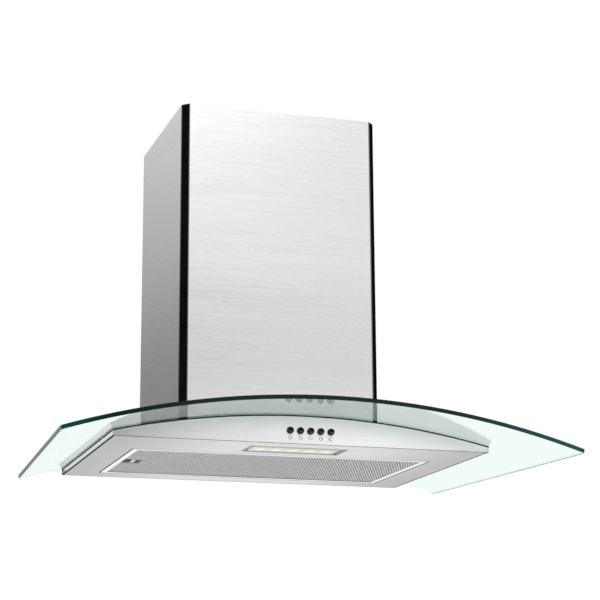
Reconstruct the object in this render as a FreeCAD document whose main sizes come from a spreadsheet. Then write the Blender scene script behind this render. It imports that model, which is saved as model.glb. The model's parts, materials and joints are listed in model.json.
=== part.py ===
import FreeCAD, Part
import math
import os
import re

from FreeCAD import Vector
import Sketcher

# Curved glass chimney hood, 700 mm wide, wall hung.  X is width, Y is depth with the wall at 0, Z is up.
document = FreeCAD.newDocument("ChimneyHood")
sheet = document.addObject("Spreadsheet::Sheet", "Sizes")

# Driving sizes in millimetres.  Heights count from the underside panel, distances from the wall.
drivingSizes = {
    # glass canopy, a sheet bent to one radius
    "glass_width": 700,
    "glass_back_width": 652,
    "glass_depth": 483,
    "glass_thickness": 5.5,
    "glass_radius": 1150,
    "glass_corner": 6,
    "side_height": 8.25,
    "cutout_clearance": 6,
    # shallow body under the glass
    "body_width": 524,
    "body_depth": 367,
    "sheet_thickness": 1,
    "gasket_thickness": 2,
    "gasket_width": 12,
    "seam_gap": 1.5,
    "lip_width": 9,
    "rim_height": 5,
    # motor housing and wall fixing
    "housing_width": 244,
    "housing_depth": 228,
    "housing_height": 270,
    "throat_margin": 12,
    "mount_height": 150,
    "mount_spacing_x": 180,
    "mount_spacing_z": 120,
    "mount_hole_radius": 3.25,
    # fan
    "fan_distance": 137,
    "fan_height": 155,
    "wheel_radius": 66,
    "wheel_width": 98,
    "wheel_disc": 2,
    "blade_depth": 12,
    "blade_thickness": 1,
    "blade_count": 24,
    "blade_sweep": 9,
    "blade_bend": 0.38,
    "shroud_width": 2,
    "hub_radius": 9,
    "hub_length": 12,
    "shaft_radius": 4,
    "shaft_overhang": 13,
    "bearing_clearance": 0.05,
    "scroll_wall": 2,
    "scroll_clearance": 6,
    "scroll_growth": 8,
    "scroll_side_gap": 4,
    "tongue_angle": 75,
    "inlet_radius": 58,
    "opening_sides": 24,
    "motor_radius": 40,
    "motor_length": 46,
    "motor_bore_depth": 21,
    "bracket_thickness": 2,
    "bracket_hub_radius": 32,
    "bracket_reach": 70,
    "bracket_arm_width": 13,
    "bracket_arms": 3,
    "bracket_screw_circle": 65,
    # air outlet
    "spigot_radius": 59.75,
    "spigot_wall": 1.5,
    "spigot_height": 45,
    "spigot_distance": 80,
    "spigot_flange": 66,
    "spigot_flange_depth": 60,
    "outlet_screw_inset": 6,
    "flange_thickness": 3,
    "seat_width": 4.5,
    "seat_height": 2.5,
    "flap_thickness": 1.2,
    "flap_clearance": 0.3,
    "flap_edge_gap": 1.5,
    "flap_root": 5,
    "pin_radius": 1.5,
    "pin_clearance": 0.05,
    "knuckle_radius": 2.6,
    "knuckle_length": 40,
    "knuckle_offset": 3,
    # chimney covers
    "chimney_side_gap": 24,
    "chimney_front_gap": 24,
    "chimney_top": 505,
    "chimney_chamfer": 9.6,
    "chimney_flange": 15,
    "chimney_seat_gap": 0.4,
    "cover_clearance": 0.6,
    "upper_cover_drop": 2,
    "wall_bracket_recess": 28,
    "wall_bracket_height": 24,
    "wall_bracket_ear": 23,
    "wall_bracket_inset": 8,
    "wall_bracket_spacing": 160,
    "wall_bracket_hole_radius": 2.75,
    # glass clamps
    "clamp_thickness": 1.5,
    "clamp_rise": 2.5,
    "clamp_reach": 18,
    "clamp_length": 170,
    "clamp_front": 205,
    "clamp_screw_rise": 19,
    "clamp_height": 30.7,
    "rest_gap": 0.3,
    # grease filter
    "filter_border": 49.5,
    "filter_depth": 226,
    "filter_back": 39.5,
    "filter_thickness": 9,
    "filter_gap": 1.75,
    "filter_bar": 8,
    "filter_lip": 0.8,
    "filter_groove": 3,
    "mesh_thickness": 0.8,
    "mesh_columns": 9,
    "mesh_rows": 7,
    "mesh_strand": 3,
    "upper_mesh_columns": 5,
    "upper_mesh_rows": 4,
    "tab_length": 9.5,
    "tab_width": 20,
    "tab_spacing": 140,
    "tab_thickness": 1,
    "tab_clearance": 0.3,
    # filter latch
    "cup_length": 31,
    "cup_width": 34,
    "cup_wall": 1,
    "tongue_width": 12,
    "tongue_thickness": 1.5,
    "tongue_lift": 0.5,
    "tongue_overlap": 4.25,
    "latch_clearance": 0.15,
    "pull_width": 22,
    "pull_length": 6,
    "pull_stand": 8.5,
    "pull_curve": 16,
    "latch_spring_radius": 2,
    "latch_spring_length": 2.2,
    # lamp
    "lamp_width": 137,
    "lamp_depth": 51,
    "lamp_distance": 285,
    "lamp_recess": 3,
    "lamp_clearance": 0.1,
    "lamp_flange": 4,
    "diffuser_width": 121,
    "diffuser_depth": 32,
    "diffuser_setback": 3,
    "diffuser_drop": 2.2,
    "window_margin": 2,
    "board_thickness": 1.2,
    "emitter_count": 5,
    "emitter_size": 5,
    "emitter_pitch": 23,
    "emitter_height": 0.9,
    "driver_width": 60,
    "driver_depth": 28,
    "driver_height": 17,
    "driver_inset": 97,
    "driver_distance": 325,
    # push buttons
    "button_count": 5,
    "button_pitch": 14.2,
    "button_offset": 4.9,
    "button_level": 17.5,
    "button_radius": 4.5,
    "button_proud": 3.6,
    "button_hole_clearance": 0.25,
    "collar_width": 11.4,
    "collar_length": 1.5,
    "stem_width": 4.4,
    "stem_clearance": 0.1,
    "stem_length": 14,
    "switch_setback": 6,
    "switch_length": 17,
    "switch_height": 17,
    "switch_margin": 8,
    "ear_length": 9,
    "ear_thickness": 10,
    "bore_floor": 1.5,
    # run capacitor and terminal box
    "capacitor_radius": 14,
    "capacitor_length": 55,
    "capacitor_level": 175,
    "capacitor_distance": 205,
    "clip_thickness": 2,
    "clip_height": 14,
    "terminal_width": 42,
    "terminal_depth": 60,
    "terminal_height": 25,
    "terminal_wall": 2,
    "terminal_offset": 97,
    "terminal_distance": 185,
    "lid_thickness": 2,
    "lid_rib": 3,
    "lid_clearance": 0.1,
    "gland_radius": 8,
    "gland_thread": 5.5,
    "gland_bore": 4,
    "gland_length": 12,
    "gland_neck": 3,
    # small screws
    "screw_radius": 2,
    "screw_head_radius": 3.8,
    "screw_head_height": 2.4,
}

# Worked-out sizes, each a formula of the driving ones.
workedSizes = {
    "crest_height": "side_height + glass_radius - sqrt(glass_radius^2 - body_half^2)",
    "glass_half": "glass_width / 2",
    "glass_back_half": "glass_back_width / 2",
    "glass_top_radius": "glass_radius + glass_thickness",
    "arc_centre": "crest_height - glass_radius",
    "body_half": "body_width / 2",
    "casing_radius": "glass_radius - gasket_thickness",
    "casing_inner_radius": "casing_radius - sheet_thickness",
    "casing_front": "-(body_depth - sheet_thickness)",
    "lip_top": "2 * sheet_thickness",
    "housing_half": "housing_width / 2",
    "cutout_half": "housing_half + cutout_clearance",
    "cutout_depth": "housing_depth + cutout_clearance",
    "panel_half": "body_half - sheet_thickness - seam_gap",
    "panel_front": "casing_front + seam_gap",
    "panel_back": "-(sheet_thickness + seam_gap)",
    "filter_half": "body_half - filter_border",
    "filter_front": "-(filter_back + filter_depth)",
    "filter_middle": "-(filter_back + filter_depth / 2)",
    "lamp_half": "lamp_width / 2",
    "lamp_front": "-(lamp_distance + lamp_depth)",
    "chimney_half": "housing_half + chimney_side_gap",
    "chimney_depth": "housing_depth + chimney_front_gap",
    "wall_bracket_half": "chimney_half - wall_bracket_recess",
    "driver_left": "body_half - driver_inset",
    "scroll_half": "wheel_width / 2 + scroll_side_gap + scroll_wall",
    "scroll_radius": "wheel_radius + scroll_clearance",
    "housing_ceiling": "housing_height - sheet_thickness",
    "tab_level": "sheet_thickness + tab_clearance",
    "groove_half": "filter_half - filter_bar + filter_groove",
    "groove_front": "filter_front + filter_bar - filter_groove",
    "groove_back": "-(filter_back + filter_bar - filter_groove)",
    "mesh_top": "filter_thickness - filter_lip",
    "cup_left": "-groove_half",
    "cup_right": "cup_left + cup_length",
    "tongue_level": "sheet_thickness + tongue_lift",
    "pull_right": "cup_right - cup_wall - pull_stand",
    "switch_front": "casing_front + switch_setback",
    "switch_half": "(button_count - 1) * button_pitch / 2 + switch_margin",
    "seat_top": "housing_height + seat_height",
    "flap_level": "seat_top + flap_clearance + flap_thickness / 2",
    "clamp_level": "crest_height + clamp_rise",
    "clamp_screw_level": "clamp_level + clamp_screw_rise",
    "clamp_top": "clamp_level + clamp_height",
    "upper_cover_bottom": "clamp_top + rest_gap",
    "motor_rear": "-scroll_half",
    "motor_front": "motor_rear + motor_length",
    "blade_root": "wheel_radius - blade_depth",
    "flap_radius": "spigot_radius - spigot_wall - flap_edge_gap",
    "cover_step": "sheet_thickness + cover_clearance",
    "chimney_screw_x": "chimney_half - chimney_flange / 2",
}

cells = {alias: str(number) for alias, number in drivingSizes.items()}
cells.update({alias: "=" + formula for alias, formula in workedSizes.items()})
for row, (alias, content) in enumerate(cells.items(), 1):
    sheet.set("A%d" % row, alias)
    sheet.set("B%d" % row, content)
    sheet.setAlias("B%d" % row, alias)
document.recompute()

aliasPattern = re.compile(r"\b(%s)\b" % "|".join(sorted(cells, key=len, reverse=True)))


def bound(formula):
    """The formula with each size name pointing at its cell."""
    return aliasPattern.sub(r"Sizes.\1", formula)


def size(formula):
    """The present value of a formula of sizes."""
    return float(sheet.evalExpression(bound(formula)))


def archHeight(x, radius):
    """Height of an arc about the glass's own centre line, at distance x from the middle."""
    return "(arc_centre + sqrt((%s)^2 - (%s)^2))" % (radius, x)


# ---- sketches and prisms -------------------------------------------------------------------------

planeOfAxis = {"X": "YZ_Plane", "Y": "XZ_Plane", "Z": "XY_Plane"}
normalSign = {"X": 1, "Y": -1, "Z": 1}


def newBody(label, base=("0", "0", "0")):
    """A body named label whose own origin lies at base, counted like the sizes."""
    body = document.addObject("PartDesign::Body", label)
    body.Label = label
    body.AllowCompound = True
    body.setExpression(".Placement.Base.x", bound(base[0]))
    body.setExpression(".Placement.Base.y", bound(base[1]))
    body.setExpression(".Placement.Base.z", bound("(%s) - mount_height" % base[2]))
    return body


def originFeature(body, role):
    return next(feature for feature in body.Origin.OriginFeatures if feature.Role == role)


def rectangle(left, low, right, high):
    """A rectangle as an outline: its corners, and no arcs."""
    return [(left, low), (right, low), (right, high), (left, high)], {}


def centredRectangle(half, low, high):
    return rectangle("-(%s)" % half, low, half, high)


def archShape(half, low, radius):
    """A flat-bottomed shape under an arc about the glass's centre line."""
    side = archHeight(half, radius)
    corners = [("-(%s)" % half, low), (half, low), (half, side), ("-(%s)" % half, side)]
    return corners, {2: (radius, "left")}


def archBand(half, inner, outer):
    """A band between two such arcs, with upright ends."""
    lowSide, highSide = archHeight(half, inner), archHeight(half, outer)
    left = "-(%s)" % half
    corners = [(left, lowSide), (half, lowSide), (half, highSide), (left, highSide)]
    return corners, {0: (inner, "right"), 2: (outer, "left")}


def disc(across, up, radius):
    return across, up, radius


def ringPlaces(radius, count, start):
    """Evenly spaced places on a circle about the sketch's origin; start is in degrees."""
    step = 360 / count
    return [("%s * cos(%g deg)" % (radius, start + number * step),
             "%s * sin(%g deg)" % (radius, start + number * step)) for number in range(count)]


def discs(places, radius):
    return [disc(across, up, radius) for across, up in places]


def polygon(across, up, radius, sides):
    """A regular polygon about a place, with its corners at radius."""
    return [("(%s) + %s" % (across, x), "(%s) + %s" % (up, y)) for x, y in ringPlaces(radius, sides, 0)], {}


def hexagon(across, up, radius):
    return polygon(across, up, radius, 6)


def roundOpening(across, up, radius):
    """A large air opening, with enough sides to pass for round."""
    return polygon(across, up, radius, int(size("opening_sides")))


def screwShafts(places):
    """Section of the small screws' shafts and of their holes; eight sides stand for the thread."""
    return [polygon(across, up, "screw_radius", 8) for across, up in places]


def addArc(sketch, start, end, radius, turn):
    """An arc of under a half circle that turns left or right; returns its index and vertex order."""
    chord = end.sub(start)
    rise = math.sqrt(max(radius * radius - chord.Length * chord.Length / 4, 0))
    side = 1 if turn == "left" else -1
    normal = Vector(-chord.y, chord.x, 0).normalize()
    middle = (start + end) * 0.5
    centre = middle + normal * (side * rise)
    first, last = (start, end) if turn == "left" else (end, start)
    angles = [math.atan2(point.y - centre.y, point.x - centre.x) for point in (first, last)]
    circle = Part.Circle(centre, Vector(0, 0, 1), radius)
    index = sketch.addGeometry(Part.ArcOfCircle(circle, angles[0], angles[1]), False)
    return index, (1, 2) if turn == "left" else (2, 1)


def bindConstraint(sketch, formula, *description):
    """Add a constraint whose last value follows a formula of sizes."""
    index = sketch.addConstraint(Sketcher.Constraint(*description, size(formula)))
    sketch.setExpression("Constraints[%d]" % index, bound(formula))


def bindVertex(sketch, geometry, vertex, across, up):
    """Hold one vertex at its distances from the sketch's origin."""
    bindConstraint(sketch, across, "DistanceX", -1, 1, geometry, vertex)
    bindConstraint(sketch, up, "DistanceY", -1, 1, geometry, vertex)


def drawOutline(sketch, corners, arcs):
    """A closed outline through corners; arcs maps an edge's number to its radius and turn."""
    points = [Vector(size(across), size(up), 0) for across, up in corners]
    edges = []
    for number, start in enumerate(points):
        end = points[(number + 1) % len(points)]
        if number in arcs:
            radius, turn = arcs[number]
            edges.append(addArc(sketch, start, end, size(radius), turn))
        else:
            edges.append((sketch.addGeometry(Part.LineSegment(start, end), False), (1, 2)))
    for number, (index, order) in enumerate(edges):
        following, followingOrder = edges[(number + 1) % len(edges)]
        sketch.addConstraint(Sketcher.Constraint("Coincident", index, order[1], following, followingOrder[0]))
    for number, (across, up) in enumerate(corners):
        index, order = edges[number]
        bindVertex(sketch, index, order[0], across, up)
        if number in arcs:
            bindConstraint(sketch, arcs[number][0], "Radius", index)


def drawCircle(sketch, across, up, radius):
    centre = Vector(size(across), size(up), 0)
    index = sketch.addGeometry(Part.Circle(centre, Vector(0, 0, 1), size(radius)), False)
    bindVertex(sketch, index, 3, across, up)
    bindConstraint(sketch, radius, "Radius", index)


def prism(body, kind, axis, low, high, loops):
    """Add or cut a prism along one axis, from low to high, with the loops as its section."""
    sketch = body.newObject("Sketcher::SketchObject", body.Label + "_sketch")
    sketch.AttachmentSupport = (originFeature(body, planeOfAxis[axis]), [""])
    sketch.MapMode = "FlatFace"
    sign = normalSign[axis]
    sketch.setExpression("AttachmentOffset.Base.z", bound("%d * (%s)" % (sign, low)))
    for loop in loops:
        draw = drawOutline if len(loop) == 2 else drawCircle
        draw(sketch, *loop)
    feature = body.newObject("PartDesign::" + kind, body.Label + "_" + kind.lower())
    feature.Profile = sketch
    feature.setExpression("Length", bound("(%s) - (%s)" % (high, low)))
    feature.Reversed = (sign < 0) if kind == "Pad" else (sign > 0)
    body.Tip = feature
    return feature


def add(body, axis, low, high, *loops):
    return prism(body, "Pad", axis, low, high, loops)


def cut(body, axis, low, high, *loops):
    """Cut a prism, and make sure that it took material away."""
    document.recompute()
    before = body.Shape.Volume
    feature = prism(body, "Pocket", axis, low, high, loops)
    document.recompute()
    if not body.Shape.Volume < before:
        raise RuntimeError("a cut in %s removed nothing" % body.Label)
    return feature


def roundEdges(body, radius, chosen):
    """Round the edges of the body's tip for which chosen(edge) holds."""
    document.recompute()
    last = body.Tip
    names = ["Edge%d" % number for number, edge in enumerate(last.Shape.Edges, 1) if chosen(edge)]
    feature = body.newObject("PartDesign::Fillet", body.Label + "_fillet")
    feature.Base = (last, names)
    feature.setExpression("Radius", bound(radius))
    body.Tip = feature


def repeatRound(body, feature, count):
    """Repeat a feature round the body's own X axis."""
    pattern = body.newObject("PartDesign::PolarPattern", body.Label + "_pattern")
    pattern.Originals = [feature]
    pattern.Axis = (originFeature(body, "X_Axis"), [""])
    pattern.Angle = 360
    pattern.setExpression("Occurrences", bound(count))
    body.Tip = pattern


def screwSet(label, axis, face, headSide, grip, places, base=("0", "0", "0")):
    """Equal screws along one axis: hexagonal heads on face on headSide, shanks reach grip the other way."""
    body = newBody(label, base)
    headEnd = "(%s) + %d * screw_head_height" % (face, headSide)
    shankEnd = "(%s) - %d * (%s)" % (face, headSide, grip)
    heads = [hexagon(across, up, "screw_head_radius") for across, up in places]
    for (near, far), loops in (((face, headEnd), heads), ((shankEnd, face), screwShafts(places))):
        low, high = (near, far) if headSide > 0 else (far, near)
        add(body, axis, low, high, *loops)


def placePart(label, shape, low):
    """A sub-part whose shape is made by functions, with its underside at height low."""
    part = document.addObject("Part::Feature", label)
    part.Label = label
    part.Shape = shape
    part.setExpression(".Placement.Base.z", bound("(%s) - mount_height" % low))
    return part


# ---- body under the glass ------------------------------------------------------------------------

def throat():
    """Plan of the air passage from the body up into the motor housing."""
    front = "-(housing_depth - throat_margin)"
    return centredRectangle("housing_half - throat_margin", front, "-throat_margin")


def bodyCasing():
    """Folded casing: sides, back and arched top, with a lip for the underside panel."""
    body = newBody("body_casing")
    inner = "body_half - sheet_thickness"
    opening = "body_half - sheet_thickness - lip_width"
    add(body, "Y", "casing_front", "0", archShape("body_half", "0", "casing_radius"))
    cut(body, "Y", "casing_front", "-sheet_thickness", archShape(inner, "lip_top", "casing_inner_radius"))
    cut(body, "Z", "0", "sheet_thickness", centredRectangle(inner, "casing_front", "-sheet_thickness"))
    cut(body, "Z", "sheet_thickness", "lip_top",
        centredRectangle(opening, "casing_front", "-(sheet_thickness + lip_width)"))
    cut(body, "Z", "lip_top", "crest_height", throat())


def buttonNumbers():
    return range(int(size("button_count")))


def buttonPlace(number):
    return "(button_offset + (%d - (button_count - 1) / 2) * button_pitch)" % number


def fasciaPanel():
    """Front plate with an arched top edge, the button holes and a flange that carries the panel."""
    body = newBody("fascia_panel")
    flangeHalf = "body_half - sheet_thickness - lip_width - rest_gap"
    add(body, "Y", "-body_depth", "casing_front", archShape("body_half", "0", "casing_radius"))
    add(body, "Z", "sheet_thickness", "lip_top",
        centredRectangle(flangeHalf, "casing_front", "casing_front + lip_width"))
    cut(body, "Y", "-body_depth", "casing_front",
        *[disc(buttonPlace(number), "button_level", "button_radius + button_hole_clearance")
          for number in buttonNumbers()])


def undersidePanel():
    """Flat panel with the filter and lamp openings and two stiffening rims."""
    body = newBody("underside_panel")
    openingHalf = "filter_half + filter_gap"
    front, back = "filter_front - filter_gap", "-(filter_back - filter_gap)"
    add(body, "Z", "0", "sheet_thickness", centredRectangle("panel_half", "panel_front", "panel_back"))
    cut(body, "Z", "0", "sheet_thickness", centredRectangle(openingHalf, front, back),
        centredRectangle("lamp_half", "lamp_front", "-lamp_distance"))
    add(body, "Z", "sheet_thickness", "sheet_thickness + rim_height",
        centredRectangle(openingHalf, front + " - sheet_thickness", front),
        centredRectangle(openingHalf, back, back + " + sheet_thickness"))


def glassCanopy():
    """Bent glass with tapered sides, rounded front corners and a cut-out for the motor housing."""
    body = newBody("glass_canopy")
    bottom, top = archHeight("glass_half", "glass_radius"), "crest_height + glass_thickness"
    margin = "(glass_half + glass_corner)"
    add(body, "Y", "-glass_depth", "0", archBand("glass_half", "glass_radius", "glass_top_radius"))
    for side in ("", "-"):
        corners = [(side + "glass_half", "-glass_depth"), (side + margin, "-glass_depth"),
                   (side + margin, "0"), (side + "glass_back_half", "0")]
        cut(body, "Z", bottom, top, (corners, {}))
    cut(body, "Z", bottom, top, centredRectangle("cutout_half", "-cutout_depth", "0"))
    frontSide = -size("glass_depth") + size("glass_corner")
    roundEdges(body, "glass_corner", lambda edge: isUpright(edge) and edge.CenterOfMass.y < frontSide)


def isUpright(edge):
    ends = [vertex.Point for vertex in edge.Vertexes]
    return len(ends) == 2 and math.hypot(ends[0].x - ends[1].x, ends[0].y - ends[1].y) < 1e-6


def gasketBand(label, half, *cuts):
    """Rubber band between the casing and the glass, cut to its plan."""
    body = newBody(label)
    low = archHeight(half, "casing_radius")
    add(body, "Y", "-body_depth", "0", archBand(half, "casing_radius", "glass_radius"))
    for loop in cuts:
        cut(body, "Z", low, "crest_height", loop)


def glassGaskets():
    """A three-sided seal on the body's edge, and one round the cut-out."""
    gasketBand("edge_gasket", "body_half",
               centredRectangle("body_half - gasket_width", "-(body_depth - gasket_width)", "0"))
    outer, front = "(cutout_half + gasket_width)", "-(cutout_depth + gasket_width)"
    gasketBand("cutout_gasket", outer, centredRectangle("cutout_half", "-cutout_depth", "0"),
               centredRectangle(outer, "-body_depth", front))


# ---- motor housing, clamps and chimney -----------------------------------------------------------

clampScrewPlace = ("-clamp_front + clamp_length / 2", "clamp_screw_level")


def outletScrewPlaces():
    """Where the outlet's screws cross the housing's top, at two opposite corners."""
    across, along = "(spigot_flange - outlet_screw_inset)", "(spigot_flange_depth - outlet_screw_inset)"
    return [("%d * %s" % (side, across), "-spigot_distance + %d * %s" % (side, along)) for side in (-1, 1)]


def motorHousing():
    """Steel box with a welded base flange, wall holes in its back and the outlet in its top."""
    body = newBody("motor_housing")
    inner = "(housing_half - sheet_thickness)"
    add(body, "Z", "0", "housing_height", centredRectangle("housing_half", "-housing_depth", "0"))
    cut(body, "Z", "0", "housing_ceiling",
        centredRectangle(inner, "-(housing_depth - sheet_thickness)", "-sheet_thickness"))
    cut(body, "Y", "-housing_depth", "0", archShape("housing_half", "0", "casing_radius"))
    add(body, "Y", "-(housing_depth - sheet_thickness)", "-sheet_thickness",
        archBand(inner, "casing_radius", "casing_radius + sheet_thickness"))
    cut(body, "Z", "0", "crest_height", throat())
    cut(body, "Z", "housing_ceiling", "housing_height",
        roundOpening("0", "-spigot_distance", "(spigot_radius - spigot_wall - seat_width)"),
        *screwShafts(outletScrewPlaces()))
    wallHoles = [("%d * mount_spacing_x / 2" % sideX, "mount_height + %d * mount_spacing_z / 2" % sideZ)
                 for sideX in (-1, 1) for sideZ in (-1, 1)]
    cut(body, "Y", "-sheet_thickness", "0", *discs(wallHoles, "mount_hole_radius"))
    for low, high in (("-housing_half", "-" + inner), (inner, "housing_half")):
        cut(body, "X", low, high, *screwShafts([clampScrewPlace]))


def mirrored(side, near, far):
    """A span from near to far on the right side, or its mirror image on the left, lowest first."""
    return (near, far) if side > 0 else ("-(%s)" % far, "-(%s)" % near)


def glassClamp(name, side):
    """Angle bracket that holds the glass down and carries one back flange of the chimney."""
    body = newBody(name)
    plateBack, plateFront = "-sheet_thickness", "-(sheet_thickness + clamp_thickness)"
    leg = mirrored(side, "housing_half", "housing_half + clamp_thickness")
    arm = mirrored(side, "housing_half", "housing_half + clamp_reach")
    plate = mirrored(side, "housing_half", "chimney_half - cover_step - sheet_thickness")
    add(body, "Z", "clamp_level", "clamp_level + clamp_thickness",
        rectangle(arm[0], "-clamp_front", arm[1], "-clamp_front + clamp_length"))
    add(body, "Z", "clamp_level", "clamp_top", rectangle(leg[0], "-clamp_front", leg[1], plateBack))
    add(body, "Y", plateFront, plateBack, rectangle(plate[0], "clamp_level", plate[1], "clamp_top"))
    cut(body, "X", *leg, *screwShafts([clampScrewPlace]))
    chimneyScrew = ("%d * chimney_screw_x" % side, "clamp_screw_level")
    cut(body, "Y", plateFront, plateBack, *screwShafts([chimneyScrew]))
    screwSet(name + "_screw", "X", "%d * (housing_half + clamp_thickness)" % side, side,
             "clamp_thickness + sheet_thickness", [clampScrewPlace])


def glassClamps():
    """Both clamps, and the rubber pads between them and the glass."""
    glassClamp("glass_clamp_left", -1)
    glassClamp("glass_clamp_right", 1)
    pads = newBody("glass_clamp_pads")
    near, far = "(cutout_half + rest_gap)", "(housing_half + clamp_reach)"
    for sign, turn in (("", "right"), ("-", "left")):
        corners = [(sign + near, "clamp_level"), (sign + near, archHeight(near, "glass_top_radius")),
                   (sign + far, archHeight(far, "glass_top_radius")), (sign + far, "clamp_level")]
        add(pads, "Y", "-clamp_front", "-clamp_front + clamp_length",
            (corners, {1: ("glass_top_radius", turn)}))


def coverOutline(half, front, back, chamfer):
    """Plan of a chimney cover: three walls, chamfered front corners and two flanges turned in."""
    wall = "sheet_thickness"
    bend = "(sheet_thickness * (sqrt(2) - 1))"
    outer = [(half, back), (half, "%s + %s" % (front, chamfer)), ("%s - %s" % (half, chamfer), front)]
    inner = [("%s - chimney_flange" % half, back),
             ("%s - chimney_flange" % half, "%s - %s" % (back, wall)),
             ("%s - %s" % (half, wall), "%s - %s" % (back, wall)),
             ("%s - %s" % (half, wall), "%s + %s + %s" % (front, chamfer, bend)),
             ("%s - %s - %s" % (half, chamfer, bend), "%s + %s" % (front, wall))]

    def mirror(points):
        return [("-(%s)" % across, along) for across, along in points]

    return outer + mirror(outer[::-1]) + mirror(inner) + inner[::-1], {}


def chimneyCovers():
    """The lower cover that shows, and the upper one that slides up from inside it."""
    lower = newBody("chimney_lower_cover")
    seat = archHeight("chimney_half", "glass_radius")
    screwPlaces = [("%d * chimney_screw_x" % side, "clamp_screw_level") for side in (-1, 1)]
    add(lower, "Z", seat, "chimney_top",
        coverOutline("chimney_half", "-chimney_depth", "0", "chimney_chamfer"))
    cut(lower, "Y", "-chimney_depth", "0",
        archShape("chimney_half", seat, "glass_top_radius + chimney_seat_gap"))
    cut(lower, "Y", "-sheet_thickness", "0", *screwShafts(screwPlaces))
    screwSet("chimney_fixing_screws", "Y", "-(sheet_thickness + clamp_thickness)", -1,
             "clamp_thickness + sheet_thickness", screwPlaces)
    upper = newBody("chimney_upper_cover")
    innerChamfer = "(chimney_chamfer - cover_step * (2 - sqrt(2)))"
    add(upper, "Z", "upper_cover_bottom", "chimney_top - upper_cover_drop",
        coverOutline("(chimney_half - cover_step)", "(-chimney_depth + cover_step)", "(-cover_step)",
                     innerChamfer))
    cut(upper, "Y", "-(cover_step + sheet_thickness)", "-cover_step", *screwShafts(upperScrewPlaces()))


def upperBracketSpan():
    top = "(chimney_top - upper_cover_drop - wall_bracket_inset)"
    return "(%s - wall_bracket_height)" % top, top


def upperScrewPlaces():
    low, top = upperBracketSpan()
    across = "(wall_bracket_half + wall_bracket_ear - chimney_flange / 2)"
    return [("%d * %s" % (side, across), "(%s + %s) / 2" % (low, top)) for side in (-1, 1)]


def upperBracket():
    """Stepped plate that fixes the upper cover to the wall, and its two screws."""
    body = newBody("upper_wall_bracket")
    low, top = upperBracketSpan()
    middle = "(%s + %s) / 2" % (low, top)
    half = "wall_bracket_half"
    earBack = "-(cover_step + sheet_thickness)"
    earFront = "-(cover_step + 2 * sheet_thickness)"
    add(body, "Y", "-sheet_thickness", "0", centredRectangle(half, low, top))
    for side in (-1, 1):
        web = mirrored(side, half + " - sheet_thickness", half)
        ear = mirrored(side, half + " - sheet_thickness", half + " + wall_bracket_ear")
        add(body, "Z", low, top, rectangle(web[0], earFront, web[1], "0"))
        add(body, "Y", earFront, earBack, rectangle(ear[0], low, ear[1], top))
    holes = [("%d * wall_bracket_spacing / 2" % side, middle) for side in (-1, 1)]
    cut(body, "Y", "-sheet_thickness", "0", *discs(holes, "wall_bracket_hole_radius"))
    cut(body, "Y", earFront, earBack, *screwShafts(upperScrewPlaces()))
    screwSet("upper_bracket_screws", "Y", earFront, -1, "2 * sheet_thickness", upperScrewPlaces())


# ---- fan -----------------------------------------------------------------------------------------

fanCentre = ("0", "-fan_distance", "fan_height")


def volute(offset):
    """Section of the scroll from four quarter arcs that grow by equal steps, and the upright outlet."""
    step = "scroll_growth / 2"
    inside = "(scroll_radius + %s)" % offset
    radii = ["(%s + %d * scroll_growth)" % (inside, number) for number in (3, 2, 1)] + [inside]
    tongueY = "(-fan_distance - %s + scroll_radius * cos(tongue_angle * 1 deg) - %s)" % (step, offset)
    tongueRun = "(%s + fan_distance + %s)" % (tongueY, step)
    tongueZ = "(fan_height + %s + sqrt(%s^2 - %s^2))" % (step, inside, tongueRun)
    right = "(-fan_distance + %s + %s)" % (step, radii[0])
    corners = [(right, "housing_ceiling"),
               (right, "fan_height + " + step),
               ("-fan_distance + " + step, "fan_height + %s - %s" % (step, radii[0])),
               ("-fan_distance + %s - %s" % (step, radii[1]), "fan_height - " + step),
               ("-fan_distance - " + step, "fan_height - %s + %s" % (step, radii[2])),
               (tongueY, tongueZ),
               (tongueY, "housing_ceiling")]
    return corners, {number + 1: (radius, "right") for number, radius in enumerate(radii)}


def fanScroll():
    """Moulded scroll with two inlets, an upright outlet and a flange under the housing's top."""
    body = newBody("fan_scroll")
    inner = "(scroll_half - scroll_wall)"
    flangeLow = "(housing_ceiling - flange_thickness)"
    add(body, "X", "-scroll_half", "scroll_half", volute("scroll_wall"))
    add(body, "Z", flangeLow, "housing_ceiling",
        centredRectangle("spigot_flange", "-(spigot_distance + spigot_flange_depth)",
                         "-(spigot_distance - spigot_flange_depth)"))
    cut(body, "X", "-" + inner, inner, volute("0"))
    inlet = roundOpening("-fan_distance", "fan_height", "inlet_radius")
    cut(body, "X", "-scroll_half", "-" + inner, inlet,
        *screwShafts([("-fan_distance + " + across, "fan_height + " + up)
                      for across, up in ringPlaces("bracket_screw_circle", 3, 90)]))
    cut(body, "X", inner, "scroll_half", inlet)
    cut(body, "Z", flangeLow, "housing_ceiling", *screwShafts(outletScrewPlaces()))


def fanWheel():
    """Double-inlet wheel: a central disc, bent blades that lean forward, two shroud rings and a hub."""
    body = newBody("fan_impeller", fanCentre)
    half = "(wheel_width / 2)"
    rings = [bladePolygon("wheel_radius"), bladePolygon("blade_root")]
    add(body, "X", "-wheel_disc / 2", "wheel_disc / 2", bladePolygon("(blade_root + shroud_width)"))
    add(body, "X", "-" + half, "-%s + shroud_width" % half, *rings)
    add(body, "X", half + " - shroud_width", half, *rings)
    blade = add(body, "X", "-" + half, half, bladeSection())
    repeatRound(body, blade, "blade_count")
    add(body, "X", "-wheel_disc / 2", "hub_length", disc("0", "0", "hub_radius"))
    cut(body, "X", "-wheel_disc / 2", "hub_length", disc("0", "0", "shaft_radius"))


def bladePolygon(radius):
    """An outline about the wheel's axis with one side for each blade."""
    return polygon("0", "0", radius, int(size("blade_count")))


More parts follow.
